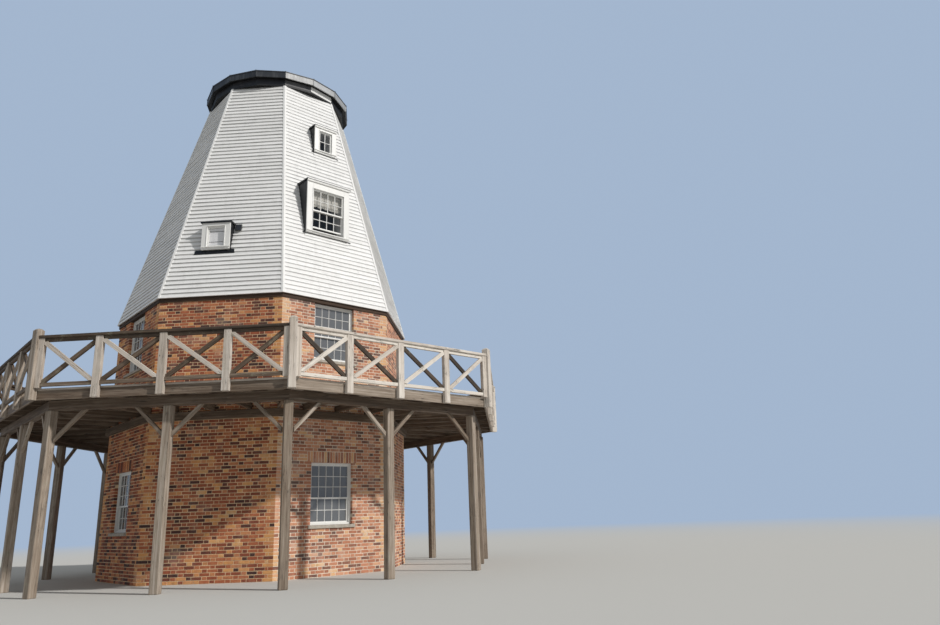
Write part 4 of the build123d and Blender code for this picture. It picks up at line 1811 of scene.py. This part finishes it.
@dataclass(frozen=True)
class Sashes:
    """Sizes of the sashes, and their glazing bars over sheets of glass."""

    mill: Mill
    stile: float = 0.035
    sash: float = 0.038
    gap: float = 0.002
    overlap: float = 0.032
    bar: Pair = (0.02, 0.03)

    def sheet(self, hole: Hole, out: float, grid: tuple[int, int], rng: Rng) -> list[Part]:
        """Divide one sheet evenly, upright bars first.

        Args:
            hole: Left, right, foot and head of the glass.
            out: Distance from the axis.
            grid: Columns and rows of panes.
            rng: Random draws.

        Returns:
            The bars.
        """
        left, right, foot, head = hole
        places = np.linspace(left, right, grid[0] + 1)[1:-1]
        levels = np.linspace(foot, head, grid[1] + 1)[1:-1]
        runs = [(*at(place, out, (foot, head)), ALONG) for place in places]
        runs += [(*at((left, right), out, level), UP) for level in levels]
        return [(bars(*run, self.bar, 0.006, rng), 0.2) for run in runs]

    def pair(
        self, hole: Hole, meeting: float, out: float, grid: tuple[int, int, int], rng: Rng
    ) -> list[Part]:
        """Divide the upper sash of a sliding pair, then the lower one behind it.

        Args:
            hole: Left, right, foot and head of the pair.
            meeting: Height of the meeting rails' middle.
            out: Distance from the axis to the upper sash's middle.
            grid: Columns of both, rows of the upper sash and of the lower one.
            rng: Random draws.

        Returns:
            The bars.
        """
        left, right, low, high = hole
        left, right, reach = left + self.stile, right - self.stile, self.stile - self.overlap / 2
        upper = self.sheet((left, right, meeting + reach, high - self.stile), out, grid[:2], rng)
        back = out - self.sash - self.gap
        return upper + self.sheet((left, right, low + self.stile, meeting - reach), back, grid[::2], rng)


@dataclass(frozen=True)
class TowerWindows(Sashes):
    """Glazing bars and beads of the sash windows in the brick tower."""

    bar: Pair = (0.016, 0.03)
    bead: Pair = (0.022, 0.016)
    frame: float = 0.04
    meeting: float = 0.42
    sash_back: float = 0.107

    def build(self) -> None:
        """Divide each upper sash into three rows of panes, each lower one into two, and bead the frames."""
        rng = np.random.default_rng(500)
        divided, beads = Draft(), Draft()
        out, half = self.mill.brick_out - self.sash_back - self.sash / 2, self.bead[0] / 2
        for side in WINDOWED:
            for hole in tower_openings(side, self.mill):
                left, right = hole.left + self.frame, hole.right - self.frame
                low, high = hole.foot + self.frame, hole.head - self.frame
                meeting = low + (high - low) * self.meeting
                sashes = self.pair((left, right, low, high), meeting, out, (5, 3, 2), rng)
                divided.sweep_all(sashes, side.angle)
                left, right = hole.left + half, hole.right - half
                foot, head = hole.foot + half, hole.head - half
                face = self.mill.brick_out - hole.reveal + 0.007
                run = surround((left, right), (foot, head), (left, right, head), face)
                beads.sweep(bars(*run, self.bead, 0.004, rng), 0.2, side.angle)
        add_piece(divided, "tower_glazing_bars", JOINERY_PAINT, Slot.WHITE_JOINERY)
        add_piece(beads, "tower_window_beads", JOINERY_PAINT, Slot.WHITE_JOINERY)


@dataclass(frozen=True)
class DormerDress(Sashes):
    """Casings, glazing bars, leaded cheeks and aprons of the box dormers."""

    reveal: float = 0.025
    slot: float = 0.11
    casing: float = 0.012
    bead: Pair = (0.018, 0.018)
    nosing: Pair = (0.04, 0.03)
    cornice: float = 0.03
    hood_proud: float = 0.045
    cheek_lead: float = 0.004
    apron_height: float = 0.11
    apron_proud: float = 0.042
    blind_depth: float = 0.15
    blind_drop: float = 0.415
    blind_fullness: float = 1.12
    pleats: int = 23
    scallops: int = 5
    pleat_depth: float = 0.006
    swag_depth: float = 0.016
    hem_rise: float = 0.03

    def front(self, dormer: Dormer) -> float:
        """Distance from the axis to a dormer's upright front."""
        return self.mill.smock_at(dormer.foot) + dormer.proud

    def cased(self, dormer: Dormer, rng: Rng) -> list[Part]:
        """Casing boards round the opening, a bead at their inner edge, a nosed cill and a cornice.

        Args:
            dormer: The dormer.
            rng: Random draws.

        Returns:
            The boards.
        """
        (left, right, low, high), (first, last) = dormer.hole, dormer.ends
        foot, head, front = dormer.foot, dormer.foot + dormer.height, self.front(dormer)
        middles, level = ((first + left) / 2, (last + right) / 2), (high + head) / 2
        boards = surround(middles, (foot, head), (left, right, level), front + self.casing / 2)
        jamb = dormer.side - 0.002, self.casing
        size = [jamb, jamb, (dormer.head - 0.002, self.casing)]
        half, out = self.bead[0] / 2, front + self.casing + 0.004
        over = left - 2 * half, right + 2 * half, high + half
        bead = surround((left - half, right + half), (low, high), over, out)
        nose = at((first - 0.006, last + 0.006), front + 0.018, foot + dormer.cill - 0.016)
        made = [
            (bars(*boards, size, 0.0025, rng), 0.25),
            (bars(*bead, self.bead, 0.005, rng), 0.1),
            (bars(*nose, OUT, self.nosing, 0.007, rng), 0.3),
        ]
        if dormer.boarded:
            return made
        lip = front + self.hood_proud
        out = (front + self.casing + lip) / 2, lip + 0.003
        start = at((first - 0.01, first - 0.02), out, (head - self.cornice / 2, head + 0.003))
        end = start * (-1, 1, 1) + (2 * dormer.shift, 0, 0)
        size = [(lip - front - self.casing, self.cornice), (0.006, 0.018)]
        return [*made, (bars(start, end, OUT, size, 0.002, rng), 0.1)]

    def divided(self, dormer: Dormer, rng: Rng) -> list[Part]:
        """Glazing bars of a fixed sash, or of a sliding pair whose lower one is raised.

        Args:
            dormer: The dormer.
            rng: Random draws.

        Returns:
            The bars.
        """
        left, right, low, high = dormer.hole
        out, grid = self.front(dormer) - self.reveal - self.sash / 2, (dormer.columns, dormer.rows)
        if dormer.sliding:
            raised = left, right, low + self.slot, high
            return self.pair(raised, (low + high) / 2, out, (*grid, dormer.rows), rng)
        hole = left + self.stile, right - self.stile, low + self.stile, high - self.stile
        return self.sheet(hole, out, grid, rng)

    def cheeks(self, dormer: Dormer) -> list[Part]:
        """Lead sheets over both cheeks, held back from the white corner boards.

        Args:
            dormer: The dormer.

        Returns:
            The sheets.
        """
        foot, head, edge = dormer.foot, dormer.foot + dormer.height, self.front(dormer) - 0.02
        out = edge, edge, self.mill.smock_at(head), self.mill.smock_at(foot)
        up = foot, head - 0.001, head - 0.001, foot
        (first, last), thickness = dormer.ends, np.array([[0], [self.cheek_lead]])
        sheets = [at(along, out, up)[None] for along in (first - thickness, last + thickness)]
        return [((sheet, sheet), 0.06) for sheet in sheets]

    def dressed(self, dormer: Dormer, span: Pair, reach: Pair, wave: float, rng: Rng) -> Swept:
        """A sheet laid down the boards under a dormer, with rounded arrises and a face that waves.

        Args:
            dormer: The dormer above it.
            span: How far its top and its foot lie below the dormer's foot.
            reach: How far it goes past the dormer on the left and on the right.
            wave: Height of the waves.
            rng: Random draws.

        Returns:
            One ring of points, which are the grain's places too.
        """
        top = (dormer.foot - self.mill.smock_foot) / math.cos(self.mill.lean) - span[0]
        low, face = top + span[0] - span[1], self.apron_proud
        up = np.array([low, low, low + 0.005, top - 0.005, top, top])
        off = np.array([0.004, face - 0.004, face, face, face - 0.004, 0.004])
        share = np.linspace(0, 1, 25)[:, None]
        splay = np.array([0, 0.004, 0.006, -0.012, -0.014, -0.014])
        first, last = dormer.ends[0] - reach[0] - splay, dormer.ends[1] + reach[1] + splay
        ripple = wave * (np.sin(share * 34 + rng.uniform(0, 6)) + 0.75 * np.sin(share * 82))
        out, height = self.mill.on_slope(up, off + ripple * (off > 0.01))
        rings = at(first + (last - first) * share, out, height)[None]
        return rings, rings

    def inner_boards(self, dormer: Dormer, rng: Rng) -> Part:
        """Three painted boards close behind the glass, with dark gaps between them.

        Args:
            dormer: The dormer.
            rng: Random draws.

        Returns:
            The boards.
        """
        left, right, low, high = dormer.hole
        out = self.front(dormer) - self.reveal - self.sash - 0.012
        edges = low + (high - low) * np.array([(0.0, 0.25), (0.278, 0.768), (0.796, 1.0)])
        level, size = edges.mean(1), at(0.018, edges[:, 1] - edges[:, 0], 0)[:, :2]
        made = bars(at(left, out, level), at(right, out, level), OUT, size, 0.003, rng)
        return made, rng.uniform(0.1, 0.3, 3)

    def hang_blind(self, dormer: Dormer, side: Side) -> None:
        """A ruched blind behind the upper sash.

        With u across and v down, both from 0 to 1, pleats stand off by sin(2 pi pleats u), the hem
        is drawn up by |sin(pi scallops u)|, and the folds between them deepen with v.

        Args:
            dormer: The dormer.
            side: Which side.
        """
        left, right, _, high = dormer.hole
        u, v = np.meshgrid(np.linspace(0, 1, 185), np.linspace(0, 1, 41))
        scallop = np.abs(np.sin(self.scallops * math.pi * u))
        waves = np.sin(math.tau * self.pleats * u + 0.9 * np.sin(9 * v))
        pleat = self.pleat_depth * waves * (0.5 + 0.5 * v)
        swag = self.swag_depth * scallop * np.sin(math.pi * 5 * v) * v**1.5
        along = left + 0.015 + (right - left - 0.03) * u
        out = self.front(dormer) - self.blind_depth + pleat + swag
        height = high - self.blind_drop * v - self.hem_rise * scallop * v**4
        points = at(along, out, height)[:, ::-1]
        draft = Draft()
        draft.grid(turned(points, side.angle), at(along, height, 0.0)[:, ::-1], 0.5)
        blind = add_piece(draft, f"ruched_blind_{side.label}", BLIND_CLOTH, Slot.WHITE_JOINERY, smooth=True)

    def build(self) -> None:
        """Dress every dormer."""
        rng = np.random.default_rng(600)
        casings, divided, cheeks, leads, aprons, inner = (Draft() for _ in range(6))
        for side, row in DORMERS.items():
            for dormer in row:
                casings.sweep_all(self.cased(dormer, rng), side.angle)
                divided.sweep_all(self.divided(dormer, rng), side.angle)
                cheeks.sweep_all(self.cheeks(dormer), side.angle)
                lead = self.dressed(dormer, (-0.004, dormer.lead), dormer.lead_reach, 0.0018, rng)
                leads.sweep(lead, 0.02, side.angle)
                if dormer.lead < self.apron_height:
                    board = self.dressed(dormer, (dormer.lead, self.apron_height), (0.0, 0.03), 0.0004, rng)
                    aprons.sweep(board, 0.7, side.angle)
                if dormer.boarded:
                    inner.sweep(*self.inner_boards(dormer, rng), side.angle)
                if dormer.sliding:
                    self.hang_blind(dormer, side)
        add_piece(casings, "dormer_casings", JOINERY_PAINT, Slot.WHITE_JOINERY)
        add_piece(divided, "dormer_glazing_bars", JOINERY_PAINT, Slot.WHITE_JOINERY)
        add_piece(cheeks, "dormer_cheek_leads", LEAD_SHEET, Slot.LEAD)
        add_piece(leads, "dressed_leads", LEAD_SHEET, Slot.LEAD, "dormer_aprons")
        add_piece(aprons, "apron_boards", APRON_PAINT, Slot.WHITE_BOARDS)
        add_piece(inner, "inner_boards", INNER_PAINT, Slot.WHITE_JOINERY)


@dataclass(frozen=True)
class Cap:
    """The cap's kerb, and its lead: fascia facets with welts, and rolls up the roof."""

    mill: Mill
    corner_radius: float = 2.13
    fascia_height: float = 0.18
    soffit_recess: float = 0.02
    thickness: float = 0.028
    kerb_radius: float = 2.000
    kerb_depth: float = 0.18
    # Height of the black strip of painted shadow at the kerb's foot.
    shadow_strip: float = 0.045
    # The facing whose facets get the most painted light.
    sunlit: float = math.radians(60)

    @property
    def foot(self) -> float:
        """Height of the fascia's lower edge."""
        return self.mill.kerb_top - self.soffit_recess

    def facet_angle(self, index: int) -> float:
        """Turn of a facet's middle from the first side."""
        return (index + 0.5) * math.tau / CAP_SIDES

    def facet_light(self, index: int) -> float:
        """Paint light on a facet: near black where it faces away from the sun and pale where it faces the
        sun, standing in for the sun's gleam on the lead.

        Args:
            index: The facet's number.

        Returns:
            Its shade from 0 to 1.
        """
        facing = math.cos(self.facet_angle(index) - self.sunlit)
        share = min(max((facing - 0.55) / 0.45, 0.0), 1.0)
        return 0.18 + 0.68 * share * share * (3 - 2 * share)

    def facets(self, seed: int, out: list, up: list, shade: Callable[[int], Array | float]) -> Draft:
        """Mitred lengths on every facet of the cap.

        Args:
            seed: Start of the random draws.
            out: Nearest and farthest distance from the axis.
            up: Lowest and highest height.
            shade: Gives the lengths' shades by the facet's number.

        Returns:
            A draft of them all.
        """
        rng, draft = np.random.default_rng(seed), Draft()
        for index in range(CAP_SIDES):
            made = mitred_bars(out, up, MITRE_GAP, 0.003, rng, slant=CAP_SLANT)
            draft.sweep(made, shade(index), self.facet_angle(index))
        return draft

    def kerb(self) -> None:
        """Sixteen timbers under the cap on a black strip of painted shadow; the timbers are painted near
        black as shade, but for one grey facet and one white one where the sun falls.
        """
        far = self.kerb_radius * CAP_APOTHEM
        near, strip = far - self.kerb_depth, self.mill.smock_top + self.shadow_strip
        up = [[strip + 0.001, self.mill.kerb_top - 0.0005], [self.mill.smock_top, strip]]
        # Painted light and shade: facet 1 grey, facet 2 white, the rest near black, and the strip under them
        # black.
        sunlit_facets = {1: 0.24, 2: 0.95}
        draft = self.facets(
            701, [[near, far], [near, far - 0.002]], up, lambda index: (sunlit_facets.get(index, 0.06), 0.0)
        )
        add_piece(draft, "kerb_timbers", KERB_PAINT, Slot.KERB_PAINT, "kerb_ring")

    def fascia(self) -> None:
        """Sixteen flat sheets, mitred, each painted lighter or darker by how it faces the sun."""
        far = self.corner_radius * CAP_APOTHEM
        up = [[self.foot, self.foot + self.fascia_height + 0.001]]
        draft = self.facets(700, [[far - self.thickness, far]], up, self.facet_light)
        add_piece(draft, "fascia_sheets", LEAD_SHEET, Slot.LEAD, "cap_fascia")

    def welts(self) -> None:
        """A folded seam up each corner of the fascia and a roll up each hip of the roof.

        Both are six-sided tubes carried along straight runs from the fascia's foot to its head,
        and from the roof's edge to its middle.
        """
        turn = np.arange(6) * math.pi / 3
        foot, head = self.foot, self.foot + self.fascia_height
        size = np.array([0.4, 1, 1, 0.4])[:, None]
        up = np.array([foot - 0.004, foot, head, head + 0.004])[:, None]
        seam = at(0.011 * np.cos(turn) * size, self.corner_radius + 0.009 * np.sin(turn) * size, up)[None]
        share = np.linspace(0, 1, 5)[:, None]
        edge = self.mill.roof_out / CAP_APOTHEM
        size = np.array([0.5, 1, 1, 1, 1])[:, None] * 0.013
        run = edge - 0.03 - share * (edge - 0.15)
        up = head + 0.026 + share * (self.mill.roof_top - head - 0.062)
        roll = at(np.cos(turn) * size, run, up + np.sin(turn) * size)[None]
        draft = Draft()
        for index in range(CAP_SIDES):
            # The seams take the painted light of the facets beside them.
            shade = max(self.facet_light(index) - 0.1, self.facet_light(index - 1) - 0.1, 0.05)
            angle = index * math.tau / CAP_SIDES
            draft.sweep((seam, seam), shade, angle)
            draft.sweep((roll, roll), 0.12, angle)
        add_piece(draft, "lead_welts", LEAD_SHEET, Slot.LEAD, smooth=True)

    def build(self) -> None:
        """Make the cap's outside."""
        self.kerb()
        self.fascia()
        self.welts()


@dataclass(frozen=True)
class BackDoors:
    """Plank doors with strap hinges and a ring handle, one at the ground and one on the deck."""

    mill: Mill
    frame: float = 0.07
    gap: float = 0.003
    threshold: float = 0.03
    leaf: float = 0.045
    planks: int = 6
    hinge: tuple[float, float, float] = (0.62, 0.045, 0.006)
    hinge_inset: float = 0.28
    hinge_taper: float = 0.75
    ring_place: Pair = (0.09, 0.98)

    def build(self) -> None:
        """Make both leaves and their ironwork."""
        rng, angle = np.random.default_rng(800), Side.BACK.angle
        leaves, iron = Draft(), Draft()
        length, *section = self.hinge
        for hole in tower_openings(Side.BACK, self.mill):
            left, right = hole.left + self.frame + self.gap, hole.right - self.frame - self.gap
            low, high = hole.foot + self.threshold, hole.head - self.frame - self.gap
            out = self.mill.brick_out - hole.reveal - self.leaf / 2
            edges = np.linspace(left, right, self.planks + 1)
            middle = (edges[1:] + edges[:-1]) / 2
            size = edges[1] - edges[0], self.leaf
            made = bars(at(middle, out, low), at(middle, out, high), ALONG, size, 0.006, rng)
            leaves.sweep(made, rng.uniform(0.1, 0.5, self.planks), angle)
            face = out + self.leaf / 2
            levels = np.array([low + self.hinge_inset, high - self.hinge_inset])
            start = at(left + 0.01, face + 0.003, levels)
            rings, grain = bars(start, start + (length, 0, 0), UP, section, 0.002, rng)
            rings[:, -2:, :, 2] += (levels[:, None, None] - rings[:, -2:, :, 2]) * self.hinge_taper
            iron.sweep((rings, grain), 0.1, angle)
            self.ring(iron, right - self.ring_place[0], face, low + self.ring_place[1])
        add_piece(leaves, "plank_doors", DOOR_PAINT, Slot.DARK_JOINERY, "doors")
        add_piece(iron, "door_ironwork", IRON, Slot.DARK_JOINERY)

    def ring(self, draft: Draft, along: float, face: float, level: float) -> None:
        """A ring handle: a circle of small circles, hung from a rose on the leaf.

        Args:
            draft: The draft that takes it.
            along: Its place along the side.
            face: Distance from the axis to the leaf's face.
            level: Height of the rose.
        """
        ring, tube = np.linspace(0, math.tau, 33)[:, None], np.linspace(0, math.tau, 9)
        spread = 0.045 + 0.006 * np.cos(tube)
        out, up = face + 0.012 + 0.006 * np.sin(tube), level - 0.042 + spread * np.sin(ring)
        points = at(along + spread * np.cos(ring), out, up)
        draft.grid(turned(points[:, ::-1], Side.BACK.angle), points, 0.1)
        disc = np.arange(12) * math.pi / 6
        size = np.array([0.026, 0.026, 0.018])[:, None]
        out = face + np.array([0, 0.006, 0.012])[:, None]
        rose = at(along + size * np.cos(disc), out, level + size * np.sin(disc))[None]
        draft.sweep((rose, rose), 0.1, Side.BACK.angle)


@dataclass(frozen=True)
class SillRing:
    """The dark timber ring between the bricks and the boards."""

    mill: Mill
    proud: float = 0.03
    depth: float = 0.25

    def build(self) -> None:
        """One mitred timber for each side."""
        rng, far = np.random.default_rng(350), self.mill.brick_out + self.proud
        out, up = [[far - self.depth, far]], [[self.mill.brick_top, self.mill.smock_foot]]
        draft = round_the_mill(lambda side: (mitred_bars(out, up, MITRE_GAP, 0.004, rng, bow=0.0006), 0.22))
        add_piece(draft, "sill_timbers", SILL_OAK, Slot.DARK_OAK, "sill_ring")


# The setting


@dataclass(frozen=True)
class Setting:
    """Camera, floor, sun, sky and backdrop."""

    eye: tuple[float, float, float] = (6.695, -19.665, 1.12)
    pitch: float = 0.28
    heading: float = 0.046966
    roll: float = -0.03888
    lens: float = 27.52
    sun_azimuth: float = math.radians(-25)
    sun_height: float = math.radians(35)
    sun_strength: float = 2.68
    sun_colour: Colour = (1.0, 0.965, 0.92)
    sky_strength: float = 0.35
    sky_colour: Colour = (0.93, 0.965, 1.0)
    backdrop: Colour = (0.37, 0.47, 0.62)
    floor_colour: Colour = (0.6, 0.6, 0.58)
    floor_radii: tuple[float, ...] = (300.0, 40.0, 16.0, 8.0, 0.0)

    def camera(self) -> None:
        """Stand the camera where the photograph was taken from."""
        data = bpy.data.cameras.new("camera")
        data.sensor_width = 36.0
        data.lens = self.lens
        data.clip_end = 2000.0
        camera = bpy.data.objects.new("camera", data)
        camera.matrix_world = (
            Matrix.Translation(self.eye)
            @ Matrix.Rotation(self.heading, 4, "Z")
            @ Matrix.Rotation(math.pi / 2 + self.pitch, 4, "X")
            @ Matrix.Rotation(self.roll, 4, "Z")
        )
        bpy.context.scene.collection.objects.link(camera)
        bpy.context.scene.camera = camera

    def sun(self) -> None:
        """A soft-edged sun from the right."""
        flat = math.cos(self.sun_height)
        east, north = flat * math.cos(self.sun_azimuth), flat * math.sin(self.sun_azimuth)
        towards = Vector((east, north, math.sin(self.sun_height)))
        data = bpy.data.lights.new("sun", "SUN")
        data.energy = self.sun_strength
        data.angle = math.radians(2.5)
        data.color = self.sun_colour
        sun = bpy.data.objects.new("sun", data)
        sun.rotation_euler = towards.to_track_quat("Z", "Y").to_euler()
        bpy.context.scene.collection.objects.link(sun)

    def sky(self) -> None:
        """An even sky, which shows as the backdrop where it is seen directly."""
        world = bpy.data.worlds.new("sky")
        world.use_nodes = True
        world.node_tree.nodes.clear()
        net = Net(world.node_tree)
        direct = net.direct_ray()
        colour = net.blend(direct, self.sky_colour, self.backdrop)
        strength = net.node("Mix", {0: direct, 2: self.sky_strength, 3: 1.0}, data_type="FLOAT").outputs[0]
        sky = net.node("Background", {"Color": colour, "Strength": strength})
        net.node("OutputWorld", {"Surface": sky.outputs[0]})
        bpy.context.scene.world = world

    def floor(self) -> None:
        """A wide disc whose far part fades into the backdrop."""
        turn, radius = np.linspace(0, math.tau, 97), np.array(self.floor_radii)[:, None]
        points = at(radius * np.cos(turn), radius * np.sin(turn), 0.0)
        draft = Draft()
        draft.grid(points[::-1], points, 0.0)
        draft.build("floor", FloorPaint("floor", 0.9, self.floor_colour, self.backdrop))

    def build(self) -> None:
        """Set the scene."""
        self.camera()
        self.sun()
        self.sky()
        self.floor()
        bpy.context.scene.view_settings.view_transform = "Standard"


NODE_FINISHES: dict[str, Finish] = {
    "brick_wall_": LIME_MORTAR,
    # The sunny sides take the paler mortar, painted for the light on them.
    **dict.fromkeys(("brick_wall_front_right", "brick_wall_right"), PALE_MORTAR),
    **dict.fromkeys(("smock_wall_", "corner_strips"), NODE_PAINT),
    **dict.fromkeys(("brick_window_frames", "brick_window_sashes"), FRAME_PAINT),
    **dict.fromkeys(("door_frames", "dormer_boxes", "dormer_sashes"), FRAME_PAINT),
    **dict.fromkeys(("dormer_hoods", "cap_soffit"), LEAD_SHEET),
    **dict.fromkeys(("cap_roof", "cap_centre"), ROOF_LEAD),
    "wall_vent": VENT_PAINT,
    "ground_floor": QUARRY_TILES,
    "timber_floors": FLOOR_OAK,
    "window_glass": WINDOW_GLASS,
    "window_sills": SILL_STONE,
}


def dress_nodes(nodes: dict[str, bpy.types.Object]) -> None:
    """Give every node that stays its finish, by the last row that its name starts with.

    Args:
        nodes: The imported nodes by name.
    """
    for name, node in nodes.items():
        for start, finish in NODE_FINISHES.items():
            if name.startswith(start):
                node.data.materials.clear()
                node.data.materials.append(finish.material())
                LOG.info("%s: %s", name, finish.name)


def main() -> None:
    """Load the frame, dress the mill and set the scene."""
    logging.basicConfig(level=logging.INFO, format="%(name)s %(message)s")
    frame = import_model()
    mill = Mill.from_frame()
    dress_nodes(frame["nodes"])
    for covering in (Boarding(mill), Brickwork(mill)):
        for side in Side:
            covering.build(side)
    for part in (
        SillRing(mill), Gallery(mill), Railing(mill), TowerWindows(mill), DormerDress(mill), Cap(mill),
        BackDoors(mill), Setting(),
    ):
        part.build()


if __name__ == "__main__":
    main()
